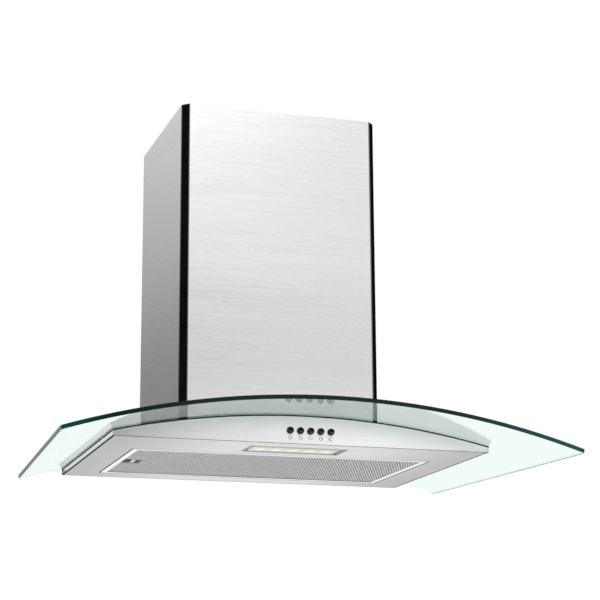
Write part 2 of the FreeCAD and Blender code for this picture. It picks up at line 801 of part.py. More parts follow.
def bladeSection():
    """Section of one blade: two straight runs, the outer one leaning further forward."""
    root, tip = "(blade_root + shroud_width / 4)", "(wheel_radius - shroud_width / 2)"
    stations = [(root, "0 deg"), ("((%s + %s) / 2)" % (root, tip), "(blade_sweep * blade_bend * 1 deg)"),
                (tip, "(blade_sweep * 1 deg)")]
    back = [polar(radius, angle) for radius, angle in stations]
    face = [polar(radius, "%s + blade_thickness / %s * 1 rad" % (angle, radius))
            for radius, angle in stations]
    return back + face[::-1], {}


def polar(radius, angle):
    return "%s * cos(%s)" % (radius, angle), "%s * sin(%s)" % (radius, angle)


def fanMotor():
    """Motor with its shaft bore, the shaft, and the three-armed bracket behind the motor."""
    body = newBody("fan_motor", fanCentre)
    add(body, "X", "motor_rear", "motor_front", disc("0", "0", "motor_radius"))
    cut(body, "X", "motor_front - motor_bore_depth", "motor_front",
        disc("0", "0", "shaft_radius + bearing_clearance"))
    shaft = newBody("motor_shaft", fanCentre)
    add(shaft, "X", "motor_front - motor_bore_depth + rest_gap", "shaft_overhang",
        disc("0", "0", "shaft_radius"))
    bracket = newBody("motor_bracket", fanCentre)
    back = "(motor_rear - bracket_thickness)"
    add(bracket, "X", back, "motor_rear", hexagon("0", "0", "bracket_hub_radius"))
    arm = add(bracket, "X", back, "motor_rear",
              rectangle("-bracket_arm_width / 2", "0", "bracket_arm_width / 2", "bracket_reach"))
    repeatRound(bracket, arm, "bracket_arms")
    screwPlaces = ringPlaces("bracket_screw_circle", 3, 90)
    cut(bracket, "X", back, "motor_rear", *screwShafts(screwPlaces))
    screwSet("bracket_screws", "X", back, -1, "bracket_thickness + scroll_wall", screwPlaces, fanCentre)


def runCapacitor():
    """Capacitor in an open clip on the housing's right wall."""
    wall = "(housing_half - sheet_thickness)"
    centreX = "(%s - clip_thickness - capacitor_radius)" % wall
    body = newBody("run_capacitor")
    add(body, "Z", "capacitor_level", "capacitor_level + capacitor_length",
        disc(centreX, "-capacitor_distance", "capacitor_radius"))
    clip = newBody("capacitor_clip", ("0", "-capacitor_distance", "0"))
    low = "(capacitor_level + (capacitor_length - clip_height) / 2)"
    mouth, floor = centreX + " - capacitor_radius / 2", centreX + " + capacitor_radius"
    outer = "(capacitor_radius + clip_thickness)"
    upper = [(wall, outer), (mouth, outer), (mouth, "capacitor_radius"), (floor, "capacitor_radius")]
    lower = [(across, "-" + along) for across, along in upper]
    add(clip, "Z", low, low + " + clip_height", (upper + lower[::-1], {}))


# ---- air outlet and its flaps --------------------------------------------------------------------

def outletSpigot():
    """Round collar on the housing with a seat for the two flaps and holes for their pin."""
    body = newBody("outlet_spigot")
    top = "housing_height + spigot_height"
    bore = "(spigot_radius - spigot_wall)"
    centre = ("0", "-spigot_distance")
    add(body, "Z", "housing_height", "housing_height + spigot_wall",
        centredRectangle("spigot_flange", "-(spigot_distance + spigot_flange_depth)",
                         "-(spigot_distance - spigot_flange_depth)"))
    add(body, "Z", "housing_height", top, disc(*centre, "spigot_radius"))
    cut(body, "Z", "housing_height", "seat_top", disc(*centre, bore + " - seat_width"))
    cut(body, "Z", "seat_top", top, disc(*centre, bore))
    cut(body, "Z", "housing_height", "housing_height + spigot_wall", *screwShafts(outletScrewPlaces()))
    cut(body, "Y", "-(spigot_distance + spigot_radius)", "-(spigot_distance - spigot_radius)",
        disc("0", "flap_level", "pin_radius"))
    screwSet("outlet_screws", "Z", "housing_height + spigot_wall", 1,
             "spigot_wall + sheet_thickness + flange_thickness", outletScrewPlaces())
    pin = newBody("flap_pin")
    add(pin, "Y", "-(spigot_distance + spigot_radius)", "-(spigot_distance - spigot_radius)",
        disc("0", "flap_level", "pin_radius"))


def airFlap(name, side):
    """Half-round flap hung on the pin by a long knuckle; side is -1 on the left and 1 on the right."""
    body = newBody(name, ("0", "-spigot_distance", "flap_level"))
    half = "flap_thickness / 2"
    rise = "sqrt(flap_radius^2 - flap_root^2)"
    root = "%d * flap_root" % side
    turn = "left" if side < 0 else "right"
    add(body, "Z", "-" + half, half, ([(root, rise), (root, "-" + rise)], {0: ("flap_radius", turn)}))
    span = mirrored(side, "knuckle_offset", "knuckle_offset + knuckle_length")
    web = mirrored(side, "0", "flap_root + pin_radius")
    add(body, "Y", *span, rectangle(web[0], "-" + half, web[1], half))
    add(body, "Y", *span, polygon("0", "0", "knuckle_radius", 8))
    cut(body, "Y", *span, disc("0", "0", "pin_radius + pin_clearance"))


def terminalBox():
    """Connection box on the housing with a snap-on lid and cable gland; the supply cable is not shown."""
    body = newBody("terminal_box")
    left, right = ("(terminal_offset %s terminal_width / 2)" % sign for sign in "-+")
    front, back = ("(-terminal_distance %s terminal_depth / 2)" % sign for sign in "-+")
    top = "(housing_height + terminal_height)"
    gland = ("-terminal_distance", "housing_height + terminal_height / 2")

    def inset(amount):
        return rectangle("%s + (%s)" % (left, amount), "%s + (%s)" % (front, amount),
                         "%s - (%s)" % (right, amount), "%s - (%s)" % (back, amount))

    add(body, "Z", "housing_height", top, inset("0"))
    cut(body, "Z", "housing_height + terminal_wall", top, inset("terminal_wall"))
    cut(body, "X", right + " - terminal_wall", right, polygon(*gland, "gland_thread", 8))
    lid = newBody("terminal_box_lid")
    add(lid, "Z", top, top + " + lid_thickness", inset("0"))
    add(lid, "Z", top + " - lid_rib", top, inset("terminal_wall + lid_clearance"),
        inset("2 * terminal_wall + lid_clearance"))
    cableGland(right, gland)


def cableGland(wall, place):
    """Hexagonal gland outside the box's wall, with a neck inside whose eight sides stand for its thread."""
    body = newBody("cable_gland")
    neckEnd = wall + " - terminal_wall - gland_neck"
    add(body, "X", wall, wall + " + gland_length", hexagon(*place, "gland_radius"))
    add(body, "X", neckEnd, wall, polygon(*place, "gland_thread", 8))
    cut(body, "X", neckEnd, wall + " + gland_length", hexagon(*place, "gland_bore"))


# ---- grease filter -------------------------------------------------------------------------------

def filterFrame():
    """Aluminium frame with a groove for the meshes, two tabs at its right end and a slot for the latch."""
    body = newBody("filter_frame")
    add(body, "Z", "0", "filter_thickness", centredRectangle("filter_half", "filter_front", "-filter_back"))
    cut(body, "Z", "filter_lip", "mesh_top", centredRectangle("groove_half", "groove_front", "groove_back"))
    cut(body, "Z", "0", "filter_thickness",
        centredRectangle("filter_half - filter_bar", "filter_front + filter_bar",
                         "-(filter_back + filter_bar)"))
    tabs = ["(filter_middle %s tab_spacing / 2)" % sign for sign in "-+"]
    add(body, "Z", "tab_level", "tab_level + tab_thickness",
        *[rectangle("filter_half", middle + " - tab_width / 2", "filter_half + tab_length",
                    middle + " + tab_width / 2") for middle in tabs])
    cut(body, "X", "-filter_half", "-groove_half", latchSlot())


def latchSlot():
    side = "(tongue_width / 2 + latch_clearance)"
    return rectangle("filter_middle - " + side, "tongue_level - latch_clearance",
                     "filter_middle + " + side, "tongue_level + tongue_thickness + latch_clearance")


def latchZone(margin):
    """Plan of the latch cup, grown by a margin."""
    half = "(cup_width / 2 + %s)" % margin
    return rectangle("cup_left - %s" % margin, "filter_middle - " + half,
                     "cup_right + %s" % margin, "filter_middle + " + half)


def expandedMesh(label, low, columns, rows):
    """Expanded metal sheet: staggered diamond openings, none of them over the latch cup."""
    left, right = -size("groove_half"), size("groove_half")
    front, back = size("groove_front"), size("groove_back")
    margin = size("filter_groove")
    pitchX = (right - left - 2 * margin) / columns
    pitchY = (back - front - 2 * margin) / rows
    strand = size("mesh_strand")
    cupRight = size("cup_right")
    cupFront, cupBack = (size("filter_middle") + side * size("cup_width") / 2 for side in (-1, 1))
    halfX, halfY = (pitchX - strand) / 2, pitchY - strand
    wires = [Part.makePolygon([Vector(left, front), Vector(right, front), Vector(right, back),
                               Vector(left, back), Vector(left, cupBack), Vector(cupRight, cupBack),
                               Vector(cupRight, cupFront), Vector(left, cupFront), Vector(left, front)])]
    for row in range(rows - 1):
        for column in range(columns - row % 2):
            centreX = left + margin + pitchX * (column + 0.5 + 0.5 * (row % 2))
            centreY = front + margin + pitchY * (row + 1)
            nearCup = (centreX - halfX < cupRight + strand and centreY + halfY > cupFront - strand
                       and centreY - halfY < cupBack + strand)
            if not nearCup:
                wires.append(diamond(centreX, centreY, halfX, halfY))
    plan = Part.makeFace(wires, "Part::FaceMakerBullseye")
    placePart(label, plan.extrude(Vector(0, 0, size("mesh_thickness"))), low)


def diamond(centreX, centreY, halfX, halfY):
    points = [Vector(centreX - halfX, centreY), Vector(centreX, centreY - halfY),
              Vector(centreX + halfX, centreY), Vector(centreX, centreY + halfY)]
    return Part.makePolygon(points + points[:1])


def filterLatch():
    """Cup in the mesh, the sliding latch in it and the spring behind the latch."""
    cup = newBody("filter_latch_cup")
    ceiling = "(mesh_top - cup_wall)"
    add(cup, "Z", "filter_lip", "mesh_top", latchZone("0"))
    cut(cup, "Z", "filter_lip", ceiling, latchZone("(-cup_wall)"))
    cut(cup, "X", "cup_left", "cup_left + cup_wall", latchSlot())
    latch = newBody("filter_latch")
    pullLeft = "(pull_right - pull_length)"
    pullHalf = "(pull_width / 2)"
    front, back = "filter_middle - " + pullHalf, "filter_middle + " + pullHalf
    add(latch, "Z", "filter_lip + latch_clearance", ceiling + " - latch_clearance",
        ([(pullLeft, front), ("pull_right", front), ("pull_right", back), (pullLeft, back)],
         {3: ("pull_curve", "right")}))
    add(latch, "Z", "tongue_level", "tongue_level + tongue_thickness",
        rectangle("-(filter_half + filter_gap + tongue_overlap)", "filter_middle - tongue_width / 2",
                  "pull_right - pull_length / 3", "filter_middle + tongue_width / 2"))
    spring = newBody("latch_spring")
    springEnd = "(cup_right - cup_wall)"
    level = "(filter_lip + %s) / 2" % ceiling
    add(spring, "X", springEnd + " - latch_spring_length", springEnd,
        disc("filter_middle", level, "latch_spring_radius"))


# ---- lamp ----------------------------------------------------------------------------------------

def lampUnit():
    """Recessed tray, diffuser, circuit board with its emitters, and the driver box."""
    tray = newBody("lamp_housing")
    ceilingTop = "(lamp_recess + sheet_thickness)"
    outerHalf = "(lamp_half - lamp_clearance)"
    front, back = "(lamp_front + lamp_clearance)", "(-lamp_distance - lamp_clearance)"
    add(tray, "Z", "0", ceilingTop, centredRectangle(outerHalf, front, back))
    add(tray, "Z", "sheet_thickness", "2 * sheet_thickness",
        centredRectangle(outerHalf + " + lamp_flange", front + " - lamp_flange", back + " + lamp_flange"))
    cut(tray, "Z", "0", "lamp_recess",
        centredRectangle(outerHalf + " - sheet_thickness", front + " + sheet_thickness",
                         back + " - sheet_thickness"))
    diffuserBack = "(-lamp_distance - diffuser_setback)"
    diffuserFront = "(%s - diffuser_depth)" % diffuserBack
    diffuserHalf = "(diffuser_width / 2)"
    cut(tray, "Z", "lamp_recess", ceilingTop,
        centredRectangle(diffuserHalf + " - window_margin", diffuserFront + " + window_margin",
                         diffuserBack + " - window_margin"))
    diffuser = newBody("lamp_diffuser")
    add(diffuser, "Z", "lamp_recess - diffuser_drop", "lamp_recess",
        centredRectangle(diffuserHalf, diffuserFront, diffuserBack))
    board = newBody("led_board")
    add(board, "Z", ceilingTop, ceilingTop + " + board_thickness",
        centredRectangle(diffuserHalf, diffuserFront, diffuserBack))
    emitters = newBody("led_emitters")
    middle = "(%s + %s) / 2" % (diffuserFront, diffuserBack)
    count = int(size("emitter_count"))
    for number in range(count):
        centreX = "(%g * emitter_pitch)" % (number - (count - 1) / 2)
        add(emitters, "Z", ceilingTop + " - emitter_height", ceilingTop,
            rectangle(centreX + " - emitter_size / 2", middle + " - emitter_size / 2",
                      centreX + " + emitter_size / 2", middle + " + emitter_size / 2"))
    driver = newBody("led_driver")
    add(driver, "Z", "sheet_thickness", "sheet_thickness + driver_height",
        rectangle("-driver_left", "-(driver_distance + driver_depth)", "-driver_left + driver_width",
                  "-driver_distance"))


# ---- push buttons --------------------------------------------------------------------------------

def centredSquare(across, up, width):
    half = "(%s) / 2" % width
    return rectangle("%s - %s" % (across, half), "%s - %s" % (up, half),
                     "%s + %s" % (across, half), "%s + %s" % (up, half))


def pushButton(number):
    """Cap with sixteen sides, square collar that stops behind the fascia, and square stem."""
    body = newBody("push_button_%d" % (number + 1), (buttonPlace(number), "-body_depth", "button_level"))
    collarStart = "(sheet_thickness + rest_gap)"
    collarEnd = "(%s + collar_length)" % collarStart
    add(body, "Y", "-button_proud", collarStart, polygon("0", "0", "button_radius", 16))
    add(body, "Y", collarStart, collarEnd, centredSquare("0", "0", "collar_width"))
    add(body, "Y", collarEnd, collarEnd + " + stem_length", centredSquare("0", "0", "stem_width"))


def switchBlock():
    """Block behind the fascia that guides the stems, and its two fixing screws."""
    body = newBody("switch_block")
    low, high = ("(button_level %s switch_height / 2)" % sign for sign in "-+")
    blockBack = "(switch_front + switch_length)"
    left, right = ("(button_offset %s switch_half)" % sign for sign in "-+")
    add(body, "Y", "switch_front", blockBack, rectangle(left, low, right, high))
    add(body, "Y", "casing_front", "casing_front + ear_thickness",
        rectangle(left + " - ear_length", low, left, high),
        rectangle(right, low, right + " + ear_length", high))
    cut(body, "Y", "switch_front", blockBack + " - bore_floor",
        *[centredSquare(buttonPlace(number), "button_level", "stem_width + 2 * stem_clearance")
          for number in buttonNumbers()])
    screws = [(left + " - ear_length / 2", "button_level"), (right + " + ear_length / 2", "button_level")]
    cut(body, "Y", "casing_front", "casing_front + ear_thickness", *screwShafts(screws))
    screwSet("switch_block_screws", "Y", "casing_front + ear_thickness", 1, "ear_thickness", screws)


# ---- build, check and write ----------------------------------------------------------------------

def buildAll():
    bodyCasing()
    fasciaPanel()
    undersidePanel()
    glassCanopy()
    glassGaskets()
    motorHousing()
    glassClamps()
    chimneyCovers()
    upperBracket()
    fanScroll()
    fanWheel()
    fanMotor()
    runCapacitor()
    outletSpigot()
    airFlap("flap_left", -1)
    airFlap("flap_right", 1)
    terminalBox()
    filterFrame()
    expandedMesh("filter_mesh_lower", "filter_lip", int(size("mesh_columns")), int(size("mesh_rows")))
    expandedMesh("filter_mesh_upper", "mesh_top - mesh_thickness",
                 int(size("upper_mesh_columns")), int(size("upper_mesh_rows")))
    filterLatch()
    lampUnit()
    for number in buttonNumbers():
        pushButton(number)
    switchBlock()
    document.recompute()


def subParts():
    kinds = ("PartDesign::Body", "Part::Feature")
    return [item for item in document.Objects if item.TypeId in kinds]


def checkAll():
    """Stop if any object failed or any sub-part has no valid shape."""
    for item in document.Objects:
        if {"Invalid", "Error"} & set(item.State):
            raise RuntimeError("%s failed: %s" % (item.Label, item.State))
    for part in subParts():
        if part.Shape.isNull() or not part.Shape.isValid() or not part.Shape.Solids:
            raise RuntimeError("%s has no valid shape" % part.Label)


def writeAll():
    os.makedirs("parts", exist_ok=True)
    for part in subParts():
        part.Shape.exportStep("parts/%s.step" % part.Label)


buildAll()
checkAll()
writeAll()
print("%d sub-parts written" % len(subParts()))
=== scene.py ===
import json
from math import asin, cos, pi, radians, sin, sqrt
import bmesh
import bpy
from mathutils import Matrix, Vector

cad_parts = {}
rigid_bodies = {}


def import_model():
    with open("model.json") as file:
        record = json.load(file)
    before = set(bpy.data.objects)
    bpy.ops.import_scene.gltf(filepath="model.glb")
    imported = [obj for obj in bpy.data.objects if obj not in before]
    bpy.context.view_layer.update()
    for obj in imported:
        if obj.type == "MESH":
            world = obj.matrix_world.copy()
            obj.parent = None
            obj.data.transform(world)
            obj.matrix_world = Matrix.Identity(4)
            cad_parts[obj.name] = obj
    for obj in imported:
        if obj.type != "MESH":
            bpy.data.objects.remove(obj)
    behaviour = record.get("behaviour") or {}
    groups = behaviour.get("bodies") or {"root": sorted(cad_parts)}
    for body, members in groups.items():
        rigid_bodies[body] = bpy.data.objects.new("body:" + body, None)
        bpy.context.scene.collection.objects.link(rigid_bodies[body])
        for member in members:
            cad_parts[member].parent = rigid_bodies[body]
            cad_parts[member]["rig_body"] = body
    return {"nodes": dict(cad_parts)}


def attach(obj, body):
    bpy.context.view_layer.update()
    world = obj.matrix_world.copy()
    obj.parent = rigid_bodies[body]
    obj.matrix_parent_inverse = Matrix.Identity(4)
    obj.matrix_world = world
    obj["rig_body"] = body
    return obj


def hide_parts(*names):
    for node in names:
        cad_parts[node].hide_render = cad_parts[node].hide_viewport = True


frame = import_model()

for leftover in [o for o in bpy.data.objects if o.name in ("Cube", "Light", "Camera")]:
    bpy.data.objects.remove(leftover)  # the start-up file's own cube, lamp and camera
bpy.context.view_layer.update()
slotOf = {name: node.material_slots[0].material.name for name, node in frame["nodes"].items()}
scene = bpy.context.scene
scene.view_settings.view_transform = "Standard"
datum = -0.150  # the hood's flat underside in the frame, metres
print("frame loaded:", len(frame["nodes"]), "nodes")


# the photograph's camera
photoView = {
    "place": (-0.71375, -2.56432, -0.52602),
    "turn": 17.785,  # degrees to the right of straight on
    "tilt": 13.928,  # degrees upwards
    "roll": -0.3385,
    "lens": 105.55,
    "sensor": 36.0,
}


def setCamera():
    data = bpy.data.cameras.new("photoCamera")
    data.lens = photoView["lens"]
    data.sensor_width = photoView["sensor"]
    data.clip_end = 100
    camera = bpy.data.objects.new("photoCamera", data)
    scene.collection.objects.link(camera)
    camera.matrix_world = (
        Matrix.Translation(photoView["place"])
        @ Matrix.Rotation(-radians(photoView["turn"]), 4, "Z")
        @ Matrix.Rotation(radians(90 + photoView["tilt"]), 4, "X")
        @ Matrix.Rotation(radians(photoView["roll"]), 4, "Z")
    )
    scene.camera = camera


lamps = {
    # name: (place, aim, width, height, power, seen in gloss)
    "frontSoftbox": ((0.45, -2.9, 2.5), (0.0, -0.2, 0.2), 1.1, 0.7, 14, True),
    "topSoftbox": ((-0.4, -0.6, 2.9), (0.0, -0.2, 0.0), 2.6, 2.2, 16, True),
    "leftFill": ((-3.2, -1.6, 0.3), (0.0, -0.2, 0.0), 1.4, 2.0, 7, False),
    "lowGlow": ((0.52, -1.6, 0.0), (0.05, -0.37, -0.13), 0.95, 0.30, 0.95, True),
}
darkCards = {
    # name: (place, aim, width, height); seen only as dark reflections in folds and fascia
    "leftCard": ((-1.56, -1.0, 1.4), (-0.146, -0.245, 1.4), 1.45, 2.8),
    "rightCard": ((1.34, 0.58, 1.4), (0.146, -0.245, 1.4), 1.8, 2.8),
    "frontCard": ((-0.40, -0.9, -0.17), (-0.40, -0.3, -0.17), 0.50, 0.16),
}


def aimAt(place, target):
    turn = (Vector(target) - Vector(place)).to_track_quat("-Z", "Y").to_matrix().to_4x4()
    return Matrix.Translation(place) @ turn


def addLamps():
    for name, (place, aim, width, height, power, gloss) in lamps.items():
        data = bpy.data.lights.new(name, "AREA")
        data.shape = "RECTANGLE"
        data.size, data.size_y, data.energy = width, height, power
        lamp = bpy.data.objects.new(name, data)
        scene.collection.objects.link(lamp)
        lamp.matrix_world = aimAt(place, aim)
        lamp.visible_glossy = gloss


def addDarkCards():
    for name, (place, aim, width, height) in darkCards.items():
        bm = bmesh.new()
        bmesh.ops.create_grid(bm, x_segments=2, y_segments=2, size=0.5)
        bmesh.ops.scale(bm, vec=(width, height, 1), verts=bm.verts)
        bmesh.ops.transform(bm, matrix=aimAt(place, aim), verts=bm.verts)
        card = finish(bm, name, "darkCloth")
        card.visible_camera = card.visible_diffuse = False
        card.visible_shadow = card.visible_transmission = False


def addNode(tree, kind, values=None, **settings):
    node = tree.nodes.new("ShaderNode" + kind)
    for key, value in settings.items():
        setattr(node, key, value)
    for key, value in (values or {}).items():
        node.inputs[key].default_value = value
    return node


def join(tree, *pairs):
    for source, target in pairs:
        tree.links.new(source, target)


def calc(tree, operation, a, b=None, clamp=False):
    node = addNode(tree, "Math", operation=operation, use_clamp=clamp)
    for place, value in enumerate((a, b)):
        if value is None:
            continue
        if isinstance(value, (int, float)):
            node.inputs[place].default_value = value
        else:
            tree.links.new(value, node.inputs[place])
    return node.outputs[0]


def remap(tree, value, low, high, outLow, outHigh):
    node = addNode(tree, "MapRange", {"From Min": low, "From Max": high,
                                      "To Min": outLow, "To Max": outHigh})
    tree.links.new(value, node.inputs["Value"])
    return node.outputs["Result"]


def newGroup(name, inputs, outputs):
    tree = bpy.data.node_groups.new(name, "ShaderNodeTree")
    for label, kind, value in inputs:
        socket = tree.interface.new_socket(label, in_out="INPUT", socket_type="NodeSocket" + kind)
        if value is not None:
            socket.default_value = value
    for label, kind in outputs:
        tree.interface.new_socket(label, in_out="OUTPUT", socket_type="NodeSocket" + kind)
    return tree, tree.nodes.new("NodeGroupInput"), tree.nodes.new("NodeGroupOutput")


def useGroup(tree, name, **values):
    node = tree.nodes.new("ShaderNodeGroup")
    node.node_tree = bpy.data.node_groups[name]
    for key, value in values.items():
        node.inputs[key].default_value = value
    return node


mirroredTones = {
    # (direction, tone) as polished metal sees the studio; 0 is straight down, 0.5 level, 1 overhead
    "front": ((0.50, 0.72), (0.595, 0.74), (0.63, 0.95), (0.67, 1.0)),
    "rear": ((0.54, 0.58), (0.60, 0.62), (0.67, 0.80), (0.76, 1.0)),
}
worldShades = {
    "plain": 0.72,  # brightness that surfaces without shine get from the studio
    "rear": (-0.20, 0.45),  # along Y, where the front tones end and the rear tones are full
    "low": (0.20, 0.34),  # along Z, a dim patch fades out here
    "side": (0.32, 0.12),  # along X, the same patch begins and is full here
    "dim": 0.55,  # its depth
}


def toneRamp(tree, stops):
    ramp = addNode(tree, "ValToRGB")
    elements = ramp.color_ramp.elements
    while len(elements) < len(stops):
        elements.new(0.5)
    for element, (place, tone) in zip(elements, stops):
        element.position = place
        element.color = (tone, tone, min(tone * 1.01, 1), 1)
    return ramp


def setWorld():
    shades = worldShades
    world = bpy.data.worlds.new("studioWorld")
    scene.world = world
    world.use_nodes = True
    tree = world.node_tree
    tree.nodes.clear()
    direction = addNode(tree, "TexCoord")
    split = addNode(tree, "SeparateXYZ")
    path = addNode(tree, "LightPath")
    tree.links.new(direction.outputs["Generated"], split.inputs[0])
    height = remap(tree, split.outputs["Z"], -1, 1, 0, 1)
    front, rear = (toneRamp(tree, mirroredTones[side]) for side in ("front", "rear"))
    behind = addNode(tree, "MapRange", interpolation_type="SMOOTHSTEP",
                     values={"From Min": shades["rear"][0], "From Max": shades["rear"][1]})
    mirrored = addNode(tree, "Mix", data_type="RGBA")
    join(tree, (height, front.inputs[0]), (height, rear.inputs[0]),
         (split.outputs["Y"], behind.inputs["Value"]),
         (behind.outputs[0], mirrored.inputs["Factor"]),
         (front.outputs[0], mirrored.inputs["A"]), (rear.outputs[0], mirrored.inputs["B"]))
    low = remap(tree, split.outputs["Z"], *shades["low"], 1, 0)
    aside = remap(tree, split.outputs["X"], *shades["side"], 0.0, shades["dim"])
    dim = calc(tree, "MULTIPLY", aside, low)
    shaded = addNode(tree, "Mix", {"B": (0, 0, 0, 1)}, data_type="RGBA")
    join(tree, (dim, shaded.inputs["Factor"]), (mirrored.outputs["Result"], shaded.inputs["A"]))
    plain = addNode(tree, "Background", {"Color": (1, 1, 1, 1), "Strength": shades["plain"]})
    clear = addNode(tree, "Background", {"Color": (1, 1, 1, 1), "Strength": 1.0})
    gloss = addNode(tree, "Background", {"Strength": 1.0})
    first, second = addNode(tree, "MixShader"), addNode(tree, "MixShader")
    output = addNode(tree, "OutputWorld")
    seen = calc(tree, "MAXIMUM", path.outputs["Is Camera Ray"], path.outputs["Is Transmission Ray"])
    join(tree, (shaded.outputs["Result"], gloss.inputs["Color"]),
         (path.outputs["Is Glossy Ray"], first.inputs[0]), (plain.outputs[0], first.inputs[1]),
         (gloss.outputs[0], first.inputs[2]), (seen, second.inputs[0]),
         (first.outputs[0], second.inputs[1]), (clear.outputs[0], second.inputs[2]),
         (second.outputs[0], output.inputs["Surface"]))


floorSizes = {"height": -0.62, "half": 14.0}  # metres


def addFloor():
    bm = bmesh.new()
    bmesh.ops.create_grid(bm, x_segments=8, y_segments=8, size=floorSizes["half"],
                          matrix=Matrix.Translation((0, 0, floorSizes["height"])))
    floor = finish(bm, "studioFloor", "paleFloor")


effectSizes = {
    "line": 1.0, "band": 0.22, "wipe": 0.012,  # noise scales of the brushed grain
    "lineRough": 0.22, "wipeRough": 0.10,  # how far each of them changes the roughness
    "wornRadius": 0.0007, "wornContrast": 4.0, "wornPatch": 220.0, "wornFrom": 0.42, "wornTo": 0.62,
}


def makeEffects():
    # three node groups: brushed grain, fine speckle and worn edges
    sizes = effectSizes
    tree, given, out = newGroup(
        "brushedGrain",
        [("Vector", "Vector", None), ("Streak", "Float", 1.0), ("Tone", "Float", 0.08)],
        [("Shade", "Float"), ("Height", "Float"), ("Rough", "Float")])
    fine = addNode(tree, "TexNoise", {"Scale": sizes["line"], "Detail": 5.0, "Roughness": 0.75})
    broad = addNode(tree, "TexNoise", {"Scale": sizes["band"], "Detail": 3.0, "Roughness": 0.6})
    wiped = addNode(tree, "TexNoise", {"Scale": sizes["wipe"], "Detail": 2.0, "Distortion": 0.6})
    for texture in (fine, broad, wiped):
        tree.links.new(given.outputs["Vector"], texture.inputs["Vector"])
    streaks = calc(tree, "ADD", calc(tree, "MULTIPLY", fine.outputs[0], 0.5),
                   calc(tree, "MULTIPLY", broad.outputs[0], 0.5))
    centred = calc(tree, "SUBTRACT", streaks, 0.5)
    shade = calc(tree, "ADD", calc(tree, "MULTIPLY", centred, given.outputs["Tone"]), 1.0)
    height = calc(tree, "MULTIPLY", streaks, given.outputs["Streak"])
    lines = calc(tree, "MULTIPLY", centred, sizes["lineRough"])
    patches = calc(tree, "SUBTRACT", wiped.outputs[0], 0.5)
    rough = calc(tree, "ADD", lines, calc(tree, "MULTIPLY", patches, sizes["wipeRough"]))
    join(tree, (shade, out.inputs["Shade"]), (height, out.inputs["Height"]),
         (rough, out.inputs["Rough"]))

    tree, given, out = newGroup(
        "fineSpeckle",
        [("Vector", "Vector", None), ("Scale", "Float", 900.0), ("Patch", "Float", 14.0)],
        [("Grain", "Float"), ("Smudge", "Float")])
    grain = addNode(tree, "TexNoise", {"Detail": 3.0, "Roughness": 0.6})
    smudge = addNode(tree, "TexNoise", {"Detail": 4.0, "Roughness": 0.55, "Distortion": 0.4})
    for texture, scale, result in ((grain, "Scale", "Grain"), (smudge, "Patch", "Smudge")):
        join(tree, (given.outputs["Vector"], texture.inputs["Vector"]),
             (given.outputs[scale], texture.inputs["Scale"]),
             (texture.outputs[0], out.inputs[result]))

    tree, given, out = newGroup(
        "edgeWear", [("Vector", "Vector", None), ("Amount", "Float", 0.5)], [("Mask", "Float")])
    rounded = addNode(tree, "Bevel", {"Radius": sizes["wornRadius"]}, samples=4)
    flat = addNode(tree, "NewGeometry")
    facing = addNode(tree, "VectorMath", operation="DOT_PRODUCT")
    patchy = addNode(tree, "TexNoise", {"Scale": sizes["wornPatch"], "Detail": 3.0})
    join(tree, (rounded.outputs[0], facing.inputs[0]), (flat.outputs["Normal"], facing.inputs[1]),
         (given.outputs["Vector"], patchy.inputs["Vector"]))
    turned = calc(tree, "SUBTRACT", 1.0, facing.outputs["Value"])
    edge = calc(tree, "MULTIPLY", turned, sizes["wornContrast"], clamp=True)
    patches = remap(tree, patchy.outputs[0], sizes["wornFrom"], sizes["wornTo"], 0.0, 1.0)
    worn = calc(tree, "MULTIPLY", edge, patches)
    mask = calc(tree, "MULTIPLY", worn, given.outputs["Amount"], clamp=True)
    tree.links.new(mask, out.inputs["Mask"])


def startMaterial(name, **values):
    material = bpy.data.materials.new(name)
    material.use_nodes = True
    tree = material.node_tree
    shader = tree.nodes["Principled BSDF"]
    for key, value in values.items():
        shader.inputs[key.replace("_", " ")].default_value = value
    coords = addNode(tree, "TexCoord")
    return tree, shader, coords.outputs["Object"]


def tint(tree, target, colour, amount, dark=0.9, light=1.06):
    # the plain colour, darker and lighter with the mask
    mix = addNode(tree, "Mix", data_type="RGBA")
    mix.inputs["A"].default_value = tuple(c * dark for c in colour) + (1,)
    mix.inputs["B"].default_value = tuple(min(c * light, 1) for c in colour) + (1,)
    join(tree, (amount, mix.inputs["Factor"]), (mix.outputs["Result"], target))
    return mix


def addBump(tree, shader, height, distance, strength=1.0):
    bump = addNode(tree, "Bump", {"Strength": strength, "Distance": distance})
    join(tree, (height, bump.inputs["Height"]), (bump.outputs[0], shader.inputs["Normal"]))


steelFinishes = {
    # name: (colour, roughness, stretch of the grain along x, y, z, streak, tone, anisotropy)
    # painted light and shade: the fascia's steel is painted lighter and pinker against the glass's
    # green light, the underside's darker
    "brushedUpright": ((0.82, 0.82, 0.825), 0.28, (40, 40, 1500), 0.22, 0.28, 0.6),
    # painted reflection: a far darker copy of the brushed steel for the chamfered folds
    "brushedFold": ((0.26, 0.26, 0.265), 0.12, (40, 40, 1500), 0.3, 0.30, 0.0),
    "brushedFascia": ((0.97, 0.905, 0.915), 0.32, (40, 40, 1500), 0.3, 0.4, 0.7),
    "brushedFlat": ((0.68, 0.67, 0.685), 0.28, (60, 700, 60), 0.5, 0.9, 0.0),
}
paintedSteelShades = {
    # painted shade: the steel is painted darker away from a place on one axis
    # name: (axis, place, distance where it begins, distance where it is full, tone there)
    "brushedUpright": ("Z", 0.36, 0.22, 0.38, 0.80),
    "brushedFlat": ("X", 0.0, 0.10, 0.24, 0.52),
    "brushedFascia": ("X", 0.20, 0.10, 0.46, 0.68),
}


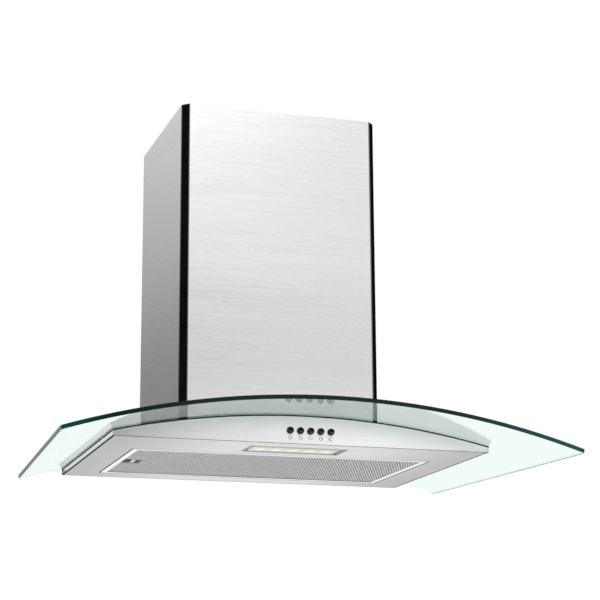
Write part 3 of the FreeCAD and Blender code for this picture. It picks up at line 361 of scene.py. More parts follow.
def makeBrushedSteel(name):
    colour, roughness, stretch, streak, tone, pull = steelFinishes[name]
    tree, shader, coords = startMaterial(name, Metallic=1.0, Anisotropic=pull,
                                         Anisotropic_Rotation=0.25)
    mapping = addNode(tree, "Mapping", {"Scale": stretch})
    grain = useGroup(tree, "brushedGrain", Streak=streak, Tone=tone)
    join(tree, (coords, mapping.inputs["Vector"]), (mapping.outputs[0], grain.inputs["Vector"]))
    amount = remap(tree, grain.outputs["Shade"], 0.93, 1.07, 0, 1)
    mix = tint(tree, shader.inputs["Base Color"], colour, amount, 0.92, 1.07)
    # painted shade: the base colour is darkened away from a place on one axis
    if name in paintedSteelShades:
        axis, middle, near, far, low = paintedSteelShades[name]
        split = addNode(tree, "SeparateXYZ")
        tree.links.new(coords, split.inputs[0])
        aside = calc(tree, "ABSOLUTE", calc(tree, "SUBTRACT", split.outputs[axis], middle))
        paintedShade = addNode(tree, "Mix", {"B": (0, 0, 0, 1)}, data_type="RGBA")
        join(tree, (remap(tree, aside, near, far, 0, 1 - low), paintedShade.inputs["Factor"]),
             (mix.outputs["Result"], paintedShade.inputs["A"]),
             (paintedShade.outputs["Result"], shader.inputs["Base Color"]))
    tree.links.new(calc(tree, "ADD", grain.outputs["Rough"], roughness), shader.inputs["Roughness"])
    addBump(tree, shader, grain.outputs["Height"], 0.00002, 0.35)


def makeGalvanised():
    tree, shader, coords = startMaterial("galvanisedSheet", Metallic=1.0)
    flakes = addNode(tree, "TexVoronoi", {"Scale": 95.0, "Randomness": 1.0})
    speckle = useGroup(tree, "fineSpeckle", Scale=700.0, Patch=9.0)
    split = addNode(tree, "SeparateColor")
    join(tree, (coords, flakes.inputs["Vector"]), (coords, speckle.inputs["Vector"]),
         (flakes.outputs["Color"], split.inputs[0]))
    tint(tree, shader.inputs["Base Color"], (0.60, 0.62, 0.635), split.outputs[0], 0.86, 1.1)
    rough = calc(tree, "ADD", calc(tree, "MULTIPLY", split.outputs[1], 0.16),
                 calc(tree, "MULTIPLY", speckle.outputs["Smudge"], 0.25))
    tree.links.new(calc(tree, "ADD", rough, 0.25), shader.inputs["Roughness"])
    addBump(tree, shader, speckle.outputs["Grain"], 0.00003, 0.3)


glassLook = {
    "body": (0.16, 0.80, 0.70, 1), "density": 22.0,  # colour and strength of the green in the sheet
    "shadow": (0.93, 0.98, 0.97, 1), "ior": 1.52,
}


def makeGlass():
    g = glassLook
    tree, shader, coords = startMaterial("canopyGlass", Roughness=0.0, IOR=g["ior"],
                                         Transmission_Weight=1.0)
    shader.inputs["Base Color"].default_value = (1, 1, 1, 1)
    speckle = useGroup(tree, "fineSpeckle", Scale=300.0, Patch=7.0)
    tree.links.new(coords, speckle.inputs["Vector"])
    smeared = remap(tree, speckle.outputs["Smudge"], 0.55, 0.8, 0.0, 0.05)
    tree.links.new(smeared, shader.inputs["Roughness"])
    addBump(tree, shader, speckle.outputs["Smudge"], 0.00002, 0.1)
    body = addNode(tree, "VolumeAbsorption", {"Color": g["body"], "Density": g["density"]})
    path = addNode(tree, "LightPath")
    through = addNode(tree, "BsdfTransparent", {"Color": g["shadow"]})
    mix = addNode(tree, "MixShader")
    output = tree.nodes["Material Output"]
    join(tree, (path.outputs["Is Shadow Ray"], mix.inputs[0]), (shader.outputs[0], mix.inputs[1]),
         (through.outputs[0], mix.inputs[2]), (mix.outputs[0], output.inputs["Surface"]),
         (body.outputs[0], output.inputs["Volume"]))


rimPaintedLight = {
    "middle": (0.002, 0.009, 0.009, 1), "ends": (0.0, 0.075, 0.06, 1),
    "right": (0.17, 0.31), "left": (0.28, 0.35),  # metres out, where the painted green begins and is full
}


def makeGlassRim():
    # the sawn and polished front edge, where light crosses the whole depth of the sheet; that light
    # is painted in as colour, near black in the middle and greener toward the ends
    r = rimPaintedLight
    tree, shader, coords = startMaterial("glassRim", Specular_IOR_Level=0.12)
    speckle = useGroup(tree, "fineSpeckle", Scale=400.0, Patch=12.0)
    split = addNode(tree, "SeparateXYZ")
    mix = addNode(tree, "Mix", {"A": r["middle"], "B": r["ends"]}, data_type="RGBA")
    join(tree, (coords, speckle.inputs["Vector"]), (coords, split.inputs[0]))
    toRight = remap(tree, split.outputs["X"], *r["right"], 0.0, 0.9)
    mirrored = calc(tree, "MULTIPLY", split.outputs["X"], -1.0)
    toLeft = remap(tree, mirrored, *r["left"], 0.0, 0.9)
    clouds = calc(tree, "MULTIPLY", speckle.outputs["Smudge"], 0.1)
    amount = calc(tree, "ADD", calc(tree, "MAXIMUM", toRight, toLeft), clouds, clamp=True)
    rough = remap(tree, speckle.outputs["Smudge"], 0.3, 0.7, 0.10, 0.20)
    join(tree, (amount, mix.inputs["Factor"]), (mix.outputs["Result"], shader.inputs["Base Color"]),
         (rough, shader.inputs["Roughness"]))


plainFinishes = {
    # name: (colour, metallic, roughness, its spread, speckle scale, bump metres, wear, worn colour)
    "zincScrew": ((0.66, 0.66, 0.63), 1.0, 0.30, 0.20, 900, 0.00002, 0.0, None),
    "filterAluminium": ((0.60, 0.61, 0.62), 1.0, 0.36, 0.20, 800, 0.00002, 0.0, None),
    "frameAluminium": ((0.97, 0.97, 0.975), 1.0, 0.32, 0.14, 800, 0.00002, 0.0, None),
    "netAluminium": ((0.76, 0.76, 0.76), 1.0, 0.40, 0.24, 700, 0.00002, 0.0, None),
    "netShadowed": ((0.16, 0.16, 0.165), 1.0, 0.50, 0.24, 700, 0.00002, 0.0, None),
    "cupGrey": ((0.34, 0.34, 0.345), 0.0, 0.40, 0.18, 900, 0.00002, 0.2, (0.4, 0.4, 0.4)),
    "latchSteel": ((0.56, 0.57, 0.58), 1.0, 0.16, 0.14, 600, 0.00001, 0.0, None),
    "glassArris": ((0.20, 0.26, 0.245), 0.0, 0.35, 0.15, 800, 0.00002, 0.0, None),
    # painted shade: near black for the shade inside seams and gaps
    "seamPrimer": ((0.03, 0.03, 0.032), 0.0, 0.75, 0.20, 900, 0.00003, 0.0, None),
    "blackRubber": ((0.010, 0.010, 0.011), 0.0, 0.66, 0.20, 1100, 0.00006, 0.3, (0.05, 0.05, 0.05)),
    "blackPlastic": ((0.006, 0.006, 0.007), 0.0, 0.30, 0.16, 1300, 0.00002, 0.2, (0.04, 0.04, 0.04)),
    "buttonBlack": ((0.002, 0.002, 0.002), 0.0, 0.07, 0.03, 1300, 0.00001, 0.0, None),
    "greyPlastic": ((0.50, 0.51, 0.52), 0.0, 0.45, 0.16, 1200, 0.00004, 0.3, (0.66, 0.66, 0.66)),
    "whitePlastic": ((0.80, 0.80, 0.78), 0.0, 0.40, 0.16, 1200, 0.00003, 0.2, (0.9, 0.9, 0.9)),
    "motorPaint": ((0.05, 0.05, 0.054), 0.0, 0.36, 0.20, 420, 0.00012, 0.6, (0.42, 0.41, 0.40)),
    "emitterResin": ((0.90, 0.78, 0.28), 0.0, 0.18, 0.10, 900, 0.00001, 0.0, None),
    "symbolPaint": ((0.20, 0.20, 0.21), 0.0, 0.50, 0.16, 1500, 0.00001, 0.0, None),
    "darkCloth": ((0.004, 0.004, 0.004), 0.0, 0.9, 0.05, 300, 0.0001, 0.0, None),
}
weakShines = {
    # name: specular level, where it isn't the usual half
    "seamPrimer": 0.15, "blackRubber": 0.15, "darkCloth": 0.15, "symbolPaint": 0.15,
    "buttonBlack": 0.35,
}


def makePlain(name):
    colour, metallic, roughness, spread, scale, bump, wear, wornColour = plainFinishes[name]
    tree, shader, coords = startMaterial(name, Metallic=metallic,
                                         Specular_IOR_Level=weakShines.get(name, 0.5))
    speckle = useGroup(tree, "fineSpeckle", Scale=scale, Patch=24.0)
    tree.links.new(coords, speckle.inputs["Vector"])
    last = tint(tree, shader.inputs["Base Color"], colour, speckle.outputs["Smudge"], 0.9, 1.08)
    centred = calc(tree, "MULTIPLY", calc(tree, "SUBTRACT", speckle.outputs["Smudge"], 0.5), spread)
    tree.links.new(calc(tree, "ADD", centred, roughness), shader.inputs["Roughness"])
    addBump(tree, shader, speckle.outputs["Grain"], bump, 0.6)
    if not wear:
        return
    edges = useGroup(tree, "edgeWear", Amount=wear)
    rubbed = addNode(tree, "Mix", data_type="RGBA")
    rubbed.inputs["B"].default_value = wornColour + (1,)
    join(tree, (coords, edges.inputs["Vector"]), (edges.outputs["Mask"], rubbed.inputs["Factor"]),
         (last.outputs["Result"], rubbed.inputs["A"]),
         (rubbed.outputs["Result"], shader.inputs["Base Color"]))


lampGlow = {
    # a row of lit spots behind the lens, one every pitch
    "pitch": 0.023, "row": -0.304,  # metres
    "shift": 20.5,  # pitches; keeps the count above zero and puts a spot in the middle
    "edge": (0.55, 0.12),  # a spot begins and is full here, in pitches from its centre
    "between": (0.10, 0.10, 0.075, 1), "spot": (0.34, 0.34, 0.27, 1),
}


def makeDiffuser():
    g = lampGlow
    tree, shader, coords = startMaterial("frostedLens", Roughness=0.4, Emission_Strength=1.0)
    split = addNode(tree, "SeparateXYZ")
    speckle = useGroup(tree, "fineSpeckle", Scale=500.0, Patch=60.0)
    join(tree, (coords, split.inputs[0]), (coords, speckle.inputs["Vector"]))
    count = calc(tree, "ADD", calc(tree, "DIVIDE", split.outputs["X"], g["pitch"]), g["shift"])
    along = calc(tree, "SUBTRACT", calc(tree, "FRACT", count), 0.5)
    across = calc(tree, "DIVIDE", calc(tree, "SUBTRACT", split.outputs["Y"], g["row"]), g["pitch"])
    reach = calc(tree, "SQRT", calc(tree, "ADD", calc(tree, "MULTIPLY", along, along),
                                    calc(tree, "MULTIPLY", across, across)))
    glow = addNode(tree, "Mix", {"A": g["between"], "B": g["spot"]}, data_type="RGBA")
    join(tree, (remap(tree, reach, *g["edge"], 0, 1), glow.inputs["Factor"]),
         (glow.outputs["Result"], shader.inputs["Emission Color"]))
    tint(tree, shader.inputs["Base Color"], (0.66, 0.67, 0.60), speckle.outputs["Smudge"],
         0.94, 1.04)
    addBump(tree, shader, speckle.outputs["Grain"], 0.00008, 0.6)


def makeBoard():
    tree, shader, coords = startMaterial("boardGreen", Roughness=0.35)
    tracks = addNode(tree, "TexBrick", {
        "Scale": 160.0, "Mortar Size": 0.035, "Mortar": (0.05, 0.28, 0.12, 1),
        "Color1": (0.02, 0.16, 0.07, 1), "Color2": (0.02, 0.13, 0.06, 1)})
    speckle = useGroup(tree, "fineSpeckle", Scale=900.0, Patch=50.0)
    join(tree, (coords, tracks.inputs["Vector"]), (coords, speckle.inputs["Vector"]),
         (tracks.outputs[0], shader.inputs["Base Color"]))
    rough = remap(tree, speckle.outputs["Smudge"], 0.3, 0.7, 0.28, 0.45)
    tree.links.new(rough, shader.inputs["Roughness"])
    addBump(tree, shader, speckle.outputs["Grain"], 0.00002, 0.4)


groundTones = {
    "front": 0.20, "rear": 1.0,  # how bright shiny surfaces see the ground, in front and behind
    "from": -1.3, "to": -0.2,  # along Y, where one passes into the other
    "lift": 0.34,  # light added for the camera alone, so that the ground is white
}


def makeFloorPaint():
    g = groundTones
    tree, shader, coords = startMaterial("paleFloor", Roughness=0.9)
    speckle = useGroup(tree, "fineSpeckle", Scale=60.0, Patch=0.6)
    split = addNode(tree, "SeparateXYZ")
    join(tree, (coords, speckle.inputs["Vector"]), (coords, split.inputs[0]))
    tint(tree, shader.inputs["Base Color"], (0.90, 0.90, 0.905), speckle.outputs["Smudge"],
         0.99, 1.01)
    seen = addNode(tree, "Emission", {"Color": (1, 1, 1, 1)})
    path, mix = addNode(tree, "LightPath"), addNode(tree, "MixShader")
    below, clear = addNode(tree, "NewGeometry"), addNode(tree, "BsdfTransparent")
    oneSided = addNode(tree, "MixShader")  # the floor hides nothing from a view below it
    shader.inputs["Emission Color"].default_value = (1, 1, 1, 1)
    lift = calc(tree, "MULTIPLY", path.outputs["Is Camera Ray"], g["lift"])
    tone = remap(tree, split.outputs["Y"], g["from"], g["to"], g["front"], g["rear"])
    join(tree, (lift, shader.inputs["Emission Strength"]), (tone, seen.inputs["Strength"]),
         (path.outputs["Is Glossy Ray"], mix.inputs[0]), (shader.outputs[0], mix.inputs[1]),
         (seen.outputs[0], mix.inputs[2]), (below.outputs["Backfacing"], oneSided.inputs[0]),
         (mix.outputs[0], oneSided.inputs[1]), (clear.outputs[0], oneSided.inputs[2]),
         (oneSided.outputs[0], tree.nodes["Material Output"].inputs["Surface"]))


def makeMaterials():
    for name in steelFinishes:
        makeBrushedSteel(name)
    for name in plainFinishes:
        makePlain(name)
    makeGalvanised()
    makeGlass()
    makeGlassRim()
    makeDiffuser()
    makeBoard()
    makeFloorPaint()


def finish(bm, name, material, body=None, nodes=(), smoothAngle=32):
    mesh = bpy.data.meshes.new(name)
    bm.to_mesh(mesh)
    bm.free()
    mesh.materials.append(bpy.data.materials[material])
    mesh.shade_smooth()
    mesh.set_sharp_from_angle(angle=radians(smoothAngle))
    piece = bpy.data.objects.new(name, mesh)
    scene.collection.objects.link(piece)
    if body:
        weighted = piece.modifiers.new("evenNormals", "WEIGHTED_NORMAL")
        weighted.keep_sharp = True
        weighted.weight = 90
        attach(piece, body)
    if nodes:
        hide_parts(*nodes)
    return piece


def roundEdges(bm, edges, width, segments=2):
    bmesh.ops.bevel(bm, geom=list(edges), offset=width, offset_type="OFFSET", segments=segments,
                    profile=0.5, affect="EDGES", material=-1, clamp_overlap=True)


def sharpEdges(bm, degrees):
    return [e for e in bm.edges
            if len(e.link_faces) == 2 and e.calc_face_angle(0) > radians(degrees)]


slotFinishes = {
    # the material for each slot of the frame
    "brushed_steel_panel": "brushedUpright", "galvanised_steel": "galvanisedSheet",
    "zinc_screw": "zincScrew", "smoke_glass": "canopyGlass", "black_rubber": "blackRubber",
    "filter_aluminium": "filterAluminium", "black_plastic": "blackPlastic",
    "grey_plastic": "greyPlastic", "white_plastic": "whitePlastic", "latch_steel": "latchSteel",
    "frosted_diffuser": "frostedLens", "motor_paint": "motorPaint", "board_green": "boardGreen",
    "emitter_yellow": "emitterResin",
}


def paintNodes():
    for name, node in frame["nodes"].items():
        for place in node.material_slots:
            place.material = bpy.data.materials[slotFinishes[slotOf[name]]]


def replaceNode(bm, node, name, material=None, smoothAngle=32):
    # a new piece in the node's place, on its body and in its slot
    return finish(bm, name, material or slotFinishes[slotOf[node]],
                  frame["nodes"][node]["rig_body"], (node,), smoothAngle)


def mergedCopy(node):
    bm = bmesh.new()
    bm.from_mesh(frame["nodes"][node].data)
    bmesh.ops.remove_doubles(bm, verts=bm.verts, dist=1e-6)
    bmesh.ops.dissolve_limit(bm, angle_limit=radians(0.6), verts=bm.verts, edges=bm.edges)
    return bm


def dressNode(node, rounding, material=None, segments=2, bend=None):
    # the node's own shape with its sharp edges eased, and its upright folds bent if bend is given
    bm = mergedCopy(node)
    if bend:
        upright = [e for e in bm.edges
                   if len(e.link_faces) == 2 and abs(e.verts[0].co.z - e.verts[1].co.z) > 0.3]
        folds = [e for e in upright if radians(35) < e.calc_face_angle(0) < radians(55)]
        roundEdges(bm, folds, bend, 5)
    roundEdges(bm, sharpEdges(bm, 50 if bend else 40), rounding, segments)
    return replaceNode(bm, node, node + "_dressed", material)


def millimetres(*values):
    # a point in millimetres above the flat underside, as a point of the frame
    return Vector([value / 1000 for value in values]) + Vector((0, 0, datum))


def boxBetween(bm, low, high):
    low, high = millimetres(*low), millimetres(*high)
    made = bmesh.ops.create_cube(bm, size=1.0)["verts"]
    bmesh.ops.scale(bm, vec=high - low, verts=made)
    bmesh.ops.translate(bm, vec=(low + high) / 2, verts=made)


def spinProfile(bm, points, centre, axis, start, steps):
    # points are (radius, distance along the axis) in millimetres; start is the radius's direction
    made = [bm.verts.new(centre + Vector(start) * radius / 1000 + Vector(axis) * along / 1000)
            for radius, along in points]
    edges = [bm.edges.new(pair) for pair in zip(made, made[1:])]
    bmesh.ops.spin(bm, geom=made + edges, cent=centre, axis=axis, angle=2 * pi, steps=steps,
                   use_merge=True)
    bmesh.ops.remove_doubles(bm, verts=bm.verts, dist=2e-6)
    bmesh.ops.recalc_face_normals(bm, faces=bm.faces)


glassSizes = {
    # metres; the sheet's upper face is an arc about a centre below it
    "radius": 1.1555,
    "thickness": 0.0055,
    "centre": datum + 0.038493 - 1.150,
    "halfFront": 0.3499,
    "halfBack": 0.326,
    "reach": 0.352,
    "depth": 0.483,
    "cutHalf": 0.128,
    "cutDepth": 0.234,
    "corner": 0.006,
    "polish": 0.0009,
    "steps": 112,
}


def cutAway(bm, point, normal, clear=True):
    bmesh.ops.bisect_plane(bm, geom=bm.verts[:] + bm.edges[:] + bm.faces[:], dist=1e-7,
                           plane_co=point, plane_no=normal, clear_outer=clear)


def makeCurvedGlass():
    s = glassSizes
    reach = asin(s["reach"] / s["radius"])
    bm = bmesh.new()
    start = [bm.verts.new((-s["radius"] * sin(reach), y, s["centre"] + s["radius"] * cos(reach)))
             for y in (-s["depth"], -s["cutDepth"], 0.0)]
    edges = [bm.edges.new(pair) for pair in zip(start, start[1:])]
    bmesh.ops.spin(bm, geom=start + edges, cent=(0, 0, s["centre"]), axis=(0, 1, 0),
                   angle=2 * reach, steps=s["steps"], use_merge=False, use_duplicate=False)
    for side in (-1, 1):
        cutAway(bm, (side * s["halfFront"], -s["depth"], 0),
                Vector((side * s["depth"], s["halfFront"] - s["halfBack"], 0)).normalized())
        cutAway(bm, (side * s["cutHalf"], 0, 0), (1, 0, 0), clear=False)
    gone = [f for f in bm.faces if abs(f.calc_center_median().x) < s["cutHalf"]
            and f.calc_center_median().y > -s["cutDepth"]]
    bmesh.ops.delete(bm, geom=gone, context="FACES")
    bmesh.ops.recalc_face_normals(bm, faces=bm.faces)
    if sum(f.normal.z for f in bm.faces) < 0:
        bmesh.ops.reverse_faces(bm, faces=bm.faces)
    bmesh.ops.solidify(bm, geom=bm.faces[:], thickness=s["thickness"])
    frontEnds = [e for e in bm.edges
                 if all(abs(v.co.y + s["depth"]) < 1e-5 and abs(v.co.x) > 0.345 for v in e.verts)]
    corners = [e for e in frontEnds if abs(e.calc_length() - s["thickness"]) < 5e-4]
    roundEdges(bm, corners, s["corner"], 6)
    roundEdges(bm, sharpEdges(bm, 50), s["polish"], 3)
    bm.normal_update()
    for face in bm.faces:
        if face.normal.y < -0.15:
            face.material_index = 1
        elif abs(face.normal.x) > 0.45:
            face.material_index = 2
    glass = replaceNode(bm, "glass_canopy", "curved_glass", smoothAngle=60)
    for edge in ("glassRim", "glassArris"):
        glass.data.materials.append(bpy.data.materials[edge])


panelEdges = {
    # node: (eased edge, finish) in metres
    "body_casing": (0.0003, "brushedUpright"),
    "fascia_panel": (0.0006, "brushedFascia"),
    "underside_panel": (0.0005, "brushedFlat"),
}
chimneyFold = {"bend": 0.0012, "edge": 0.0003}


def dressPanels():
    for node, (edge, material) in panelEdges.items():
        panel = dressNode(node, edge, material)
        panel.data.materials.append(bpy.data.materials["seamPrimer"])
        for face in panel.data.polygons:
            up = face.normal.z  # painted shade: the panel's edges and the casing's lower rims are painted dark for the shaded seam
            face.material_index = int(abs(up) < 0.93 if node == "underside_panel" else up < -0.3)
    for node in ("chimney_lower_cover", "chimney_upper_cover"):
        cover = dressNode(node, chimneyFold["edge"], bend=chimneyFold["bend"])
        # painted reflection: the fold faces get the darker copy of the steel
        cover.data.materials.append(bpy.data.materials["brushedFold"])
        for face in cover.data.polygons:
            face.material_index = int(min(abs(face.normal.x), abs(face.normal.y)) > 0.1)


filterNets = {
    # node: (name, finish, underside above the datum, wire depth, cell, half a strand) millimetres
    "filter_mesh_lower": ("fine_net", "netAluminium", 0.85, 0.14, 3.3, 0.56),
    "filter_mesh_upper": ("coarse_net", "netShadowed", 7.45, 0.5, 4.8, 0.6),
}
netSizes = {
    "half": 207.5, "front": -260.5, "back": -44.5, "reach": 165, "margin": 8,
    "cup": (-176.5, -169.5, -135.5),  # right side, front and back of the gap for the latch's cup
    "stretch": (0.85, 2.0),  # of the square cells, along X and Y
}


def makeNet(node):
    name, material, low, deep, cell, strand = filterNets[node]
    f = netSizes
    half, front, back, margin = (f[key] / 1000 for key in ("half", "front", "back", "margin"))
    middle, deepHalf = (front + back) / 2, (back - front) / 2
    bm = bmesh.new()
    count = 2 * int(f["reach"] / cell)
    bmesh.ops.create_grid(bm, x_segments=2 * count, y_segments=2 * count, size=count * cell / 1000)
    turn = Matrix.Diagonal((*f["stretch"], 1, 1)) @ Matrix.Rotation(pi / 4, 4, "Z")
    place = Matrix.Translation((0, middle, datum + low / 1000))
    bmesh.ops.transform(bm, matrix=place @ turn, verts=bm.verts)
    outside = [v for v in bm.verts
               if abs(v.co.x) > half + margin or abs(v.co.y - middle) > deepHalf + margin]
    bmesh.ops.delete(bm, geom=outside, context="VERTS")
    whole = bm.faces[:]
    bmesh.ops.inset_individual(bm, faces=whole, thickness=strand / 1000, use_even_offset=True)
    bmesh.ops.delete(bm, geom=whole, context="FACES")
    for point, normal in (((half, 0, 0), (1, 0, 0)), ((-half, 0, 0), (-1, 0, 0)),
                          ((0, front, 0), (0, -1, 0)), ((0, back, 0), (0, 1, 0))):
        cutAway(bm, point, normal)
    right, cupFront, cupBack = (value / 1000 for value in f["cup"])
    for point, normal in (((right, 0, 0), (1, 0, 0)), ((0, cupFront, 0), (0, 1, 0)),
                          ((0, cupBack, 0), (0, 1, 0))):
        cutAway(bm, point, normal, clear=False)
    inCup = [face for face in bm.faces if face.calc_center_median().x < right
             and cupFront < face.calc_center_median().y < cupBack]
    bmesh.ops.delete(bm, geom=inCup, context="FACES")
    for face in bm.faces:
        if face.normal.z < 0:
            face.normal_flip()
    bmesh.ops.solidify(bm, geom=bm.faces[:], thickness=-deep / 1000)
    replaceNode(bm, node, name, material, 80)


latchShape = {
    # corners of the pull and the tongue and the spring's start in millimetres; curl in metres
    "pull": ((-192.0, -163.5, 0.95), (-186.0, -141.5, 7.05)),
    "tongue": ((-218.5, -158.5, 1.5), (-190.0, -146.5, 3.0)),
    "curl": 0.0026,
    "spring": (-179.7, -152.5, 4.0), "coil": 1.72, "wire": 0.26, "length": 1.65, "turns": 3,
    "turnSteps": 20,
}


def makeLatch():
    s = latchShape
    bm = bmesh.new()
    boxBetween(bm, *s["pull"])
    curled = [e for e in bm.edges if all(v.co.x < -0.19 for v in e.verts)
              and abs(e.verts[0].co.y - e.verts[1].co.y) > 0.01]
    roundEdges(bm, curled, s["curl"], 6)
    roundEdges(bm, sharpEdges(bm, 50), 0.0004, 2)
    replaceNode(bm, "filter_latch", "latch_pull")

    bm = bmesh.new()
    boxBetween(bm, *s["tongue"])
    roundEdges(bm, sharpEdges(bm, 50), 0.0004, 2)
    # painted shade: the tongue is painted dark for the shade over the left of the cup
    replaceNode(bm, "filter_latch", "latch_tongue", "seamPrimer")

    bm = bmesh.new()
    x, y, z = s["spring"]
    ring = bmesh.ops.create_circle(bm, segments=8, radius=s["wire"] / 1000, cap_ends=True)["verts"]
    bmesh.ops.rotate(bm, matrix=Matrix.Rotation(pi / 2, 3, "Y"), verts=ring)
    bmesh.ops.rotate(bm, matrix=Matrix.Rotation(pi / 2, 3, "Z"), verts=ring)
    bmesh.ops.translate(bm, vec=millimetres(x + s["wire"], y, z + s["coil"]), verts=ring)
    steps = s["turnSteps"] * s["turns"]
    bmesh.ops.spin(bm, geom=ring + bm.edges[:] + bm.faces[:], cent=millimetres(x, y, z),
                   axis=(1, 0, 0), dvec=(s["length"] / 1000 / steps, 0, 0),
                   angle=2 * pi * s["turns"], steps=steps)
    bmesh.ops.recalc_face_normals(bm, faces=bm.faces)
    replaceNode(bm, "latch_spring", "latch_coil", "latchSteel", 80)


# push buttons and their symbols, in millimetres
buttonShape = {
    "first": -23.5, "pitch": 14.2, "level": 17.5, "plate": -367.0, "cap": 4.5, "proud": 3.6,
    "dish": 1.15, "base": 1.3, "collar": 11.4, "stem": 4.4, "steps": 40,
}
symbolShape = {
    "drop": 9.6, "radius": 2.6, "line": 0.7, "proud": 0.05,
    # (sides, width against height, sideways shift of the inner outline in line widths)
    "outlines": ((24, 1.0, 0.0), (4, 1.35, 0.0), (4, 1.2, 0.0), (12, 1.05, 0.0), (24, 1.0, 0.75)),
}


def makeButtons():
    s = buttonShape
    cap, front, base = s["cap"], -s["proud"], s["base"]
    profile = [(0.0, front + s["dish"] * 0.95), (cap * 0.12, front + s["dish"] * 0.83),
               (cap * 0.68, front + 0.05), (cap * 0.76, front), (cap * 0.88, front + 0.1),
               (cap * 0.95, front + 0.42), (cap, front + 1.0), (cap, base), (0.0, base)]
    for number in range(5):
        x = s["first"] + number * s["pitch"]
        bm = bmesh.new()
        for width, near, far in ((s["collar"], base, base + 1.5),
                                 (s["stem"], base + 1.5, base + 15.5)):
            boxBetween(bm, (x - width / 2, s["plate"] + near, s["level"] - width / 2),
                       (x + width / 2, s["plate"] + far, s["level"] + width / 2))
        roundEdges(bm, sharpEdges(bm, 50), 0.0003, 2)
        spinProfile(bm, profile, millimetres(x, s["plate"], s["level"]), (0, 1, 0), (1, 0, 0),
                    s["steps"])
        node = "push_button_%d" % (number + 1)
        replaceNode(bm, node, node + "_cap", "buttonBlack")


def makeSymbols():
    # plain printed outlines, one under each button
    s, b = symbolShape, buttonShape
    bm = bmesh.new()
    for number, (sides, wide, moon) in enumerate(s["outlines"]):
        x = b["first"] + number * b["pitch"]
        edges, centre = [], millimetres(x, b["plate"], b["level"] - s["drop"])
        for radius, shift in ((s["radius"], 0.0), (s["radius"] - s["line"], moon)):
            loop = bmesh.ops.create_circle(bm, segments=sides, radius=radius / 1000)["verts"]
            if sides == 4:
                bmesh.ops.rotate(bm, matrix=Matrix.Rotation(pi / 4, 3, "Z"), verts=loop)
            bmesh.ops.scale(bm, vec=(wide, 1, 1), verts=loop)
            bmesh.ops.rotate(bm, matrix=Matrix.Rotation(pi / 2, 3, "X"), verts=loop)
            aside = Vector((shift * s["line"] / 1000, 0, 0))
            bmesh.ops.translate(bm, vec=centre + aside, verts=loop)
            edges += list({e for v in loop for e in v.link_edges})
        bmesh.ops.bridge_loops(bm, edges=edges)
    for face in bm.faces:
        face.normal_update()
        if face.normal.y > 0:
            face.normal_flip()
    bmesh.ops.translate(bm, vec=(0, -s["proud"] / 1000, 0), verts=bm.verts)
    bmesh.ops.solidify(bm, geom=bm.faces[:], thickness=s["proud"] / 1000)
    finish(bm, "button_symbols", "symbolPaint", "hood", ())


lensShape = {
    "low": (-60.5, -320.0, 0.8), "high": (60.5, -288.0, 3.0),  # corners in millimetres
    "corner": 0.0025, "edge": 0.0005,  # metres
}


def makeLamp():
    s = lensShape
    bm = bmesh.new()
    boxBetween(bm, s["low"], s["high"])
    upright = [e for e in bm.edges if abs(e.verts[0].co.z - e.verts[1].co.z) > 0.001]
    roundEdges(bm, upright, s["corner"], 5)
    roundEdges(bm, sharpEdges(bm, 60), s["edge"], 3)
    replaceNode(bm, "lamp_diffuser", "lamp_lens")


# fan, motor and capacitor, in millimetres and degrees
wheel = {
    "centre": (0, -137, 155), "radius": 66, "root": 54, "half": 49, "ring": 2, "disc": 56,
    "hub": 9, "bore": 4, "hubEnd": 12, "steps": 96,
    "blades": 24, "sweep": 9, "bladeArc": 14, "thick": 1.0,
}


def makeImpeller():
    w = wheel
    centre = millimetres(*w["centre"])
    bm = bmesh.new()
    root, tip = w["root"] + 0.5, w["radius"] - 0.5
    tipPlace = Vector((tip * cos(radians(w["sweep"])), tip * sin(radians(w["sweep"]))))
    chord = tipPlace - Vector((root, 0))
    reach = sqrt(w["bladeArc"] ** 2 - chord.length_squared / 4)
    pivot = Vector((root, 0)) + chord / 2 + Vector((-chord.y, chord.x)).normalized() * reach
    edge = [bm.verts.new(centre + Vector((x / 1000, root / 1000, 0)))
            for x in (-w["half"] + 1, w["half"] - 1)]
    line = bm.edges.new(edge)
    bmesh.ops.spin(bm, geom=edge + [line], cent=centre + Vector((0, pivot.x, pivot.y)) / 1000,
                   axis=(1, 0, 0), angle=2 * asin(chord.length / 2 / w["bladeArc"]), steps=6)
    bmesh.ops.solidify(bm, geom=bm.faces[:], thickness=w["thick"] / 1000)
    bmesh.ops.recalc_face_normals(bm, faces=bm.faces)
    bmesh.ops.spin(bm, geom=bm.verts[:] + bm.edges[:] + bm.faces[:], cent=centre, axis=(1, 0, 0),
                   angle=2 * pi * (1 - 1 / w["blades"]), steps=w["blades"] - 1, use_duplicate=True)
    replaceNode(bm, "fan_impeller", "impeller_blades", "blackPlastic")

    bm = bmesh.new()
    for side in (-1, 1):
        near, far = side * (w["half"] - w["ring"]), side * w["half"]
        ring = [(w["root"], near), (w["radius"], near), (w["radius"], far), (w["root"], far),
                (w["root"], near)]
        spinProfile(bm, ring, centre, (1, 0, 0), (0, 1, 0), w["steps"])
    disc = [(w["bore"], -1), (w["disc"], -1), (w["disc"], 1), (w["hub"], 1),
            (w["hub"], w["hubEnd"] - 0.6), (w["hub"] - 0.6, w["hubEnd"]),
            (w["bore"], w["hubEnd"]), (w["bore"], -1)]
    spinProfile(bm, disc, centre, (1, 0, 0), (0, 1, 0), w["steps"])
    roundEdges(bm, sharpEdges(bm, 50), 0.0003, 2)
    replaceNode(bm, "fan_impeller", "impeller_rings", "blackPlastic")


motorShape = {
    "bell": 37.5, "stack": 40.0, "front": -9.0, "rear": -55.0, "bore": 4.1, "boreEnd": -30.0,
    "stackFront": -22.0, "laminations": 9, "pitch": 2.2, "groove": 0.8, "gap": 0.5, "steps": 64,
}


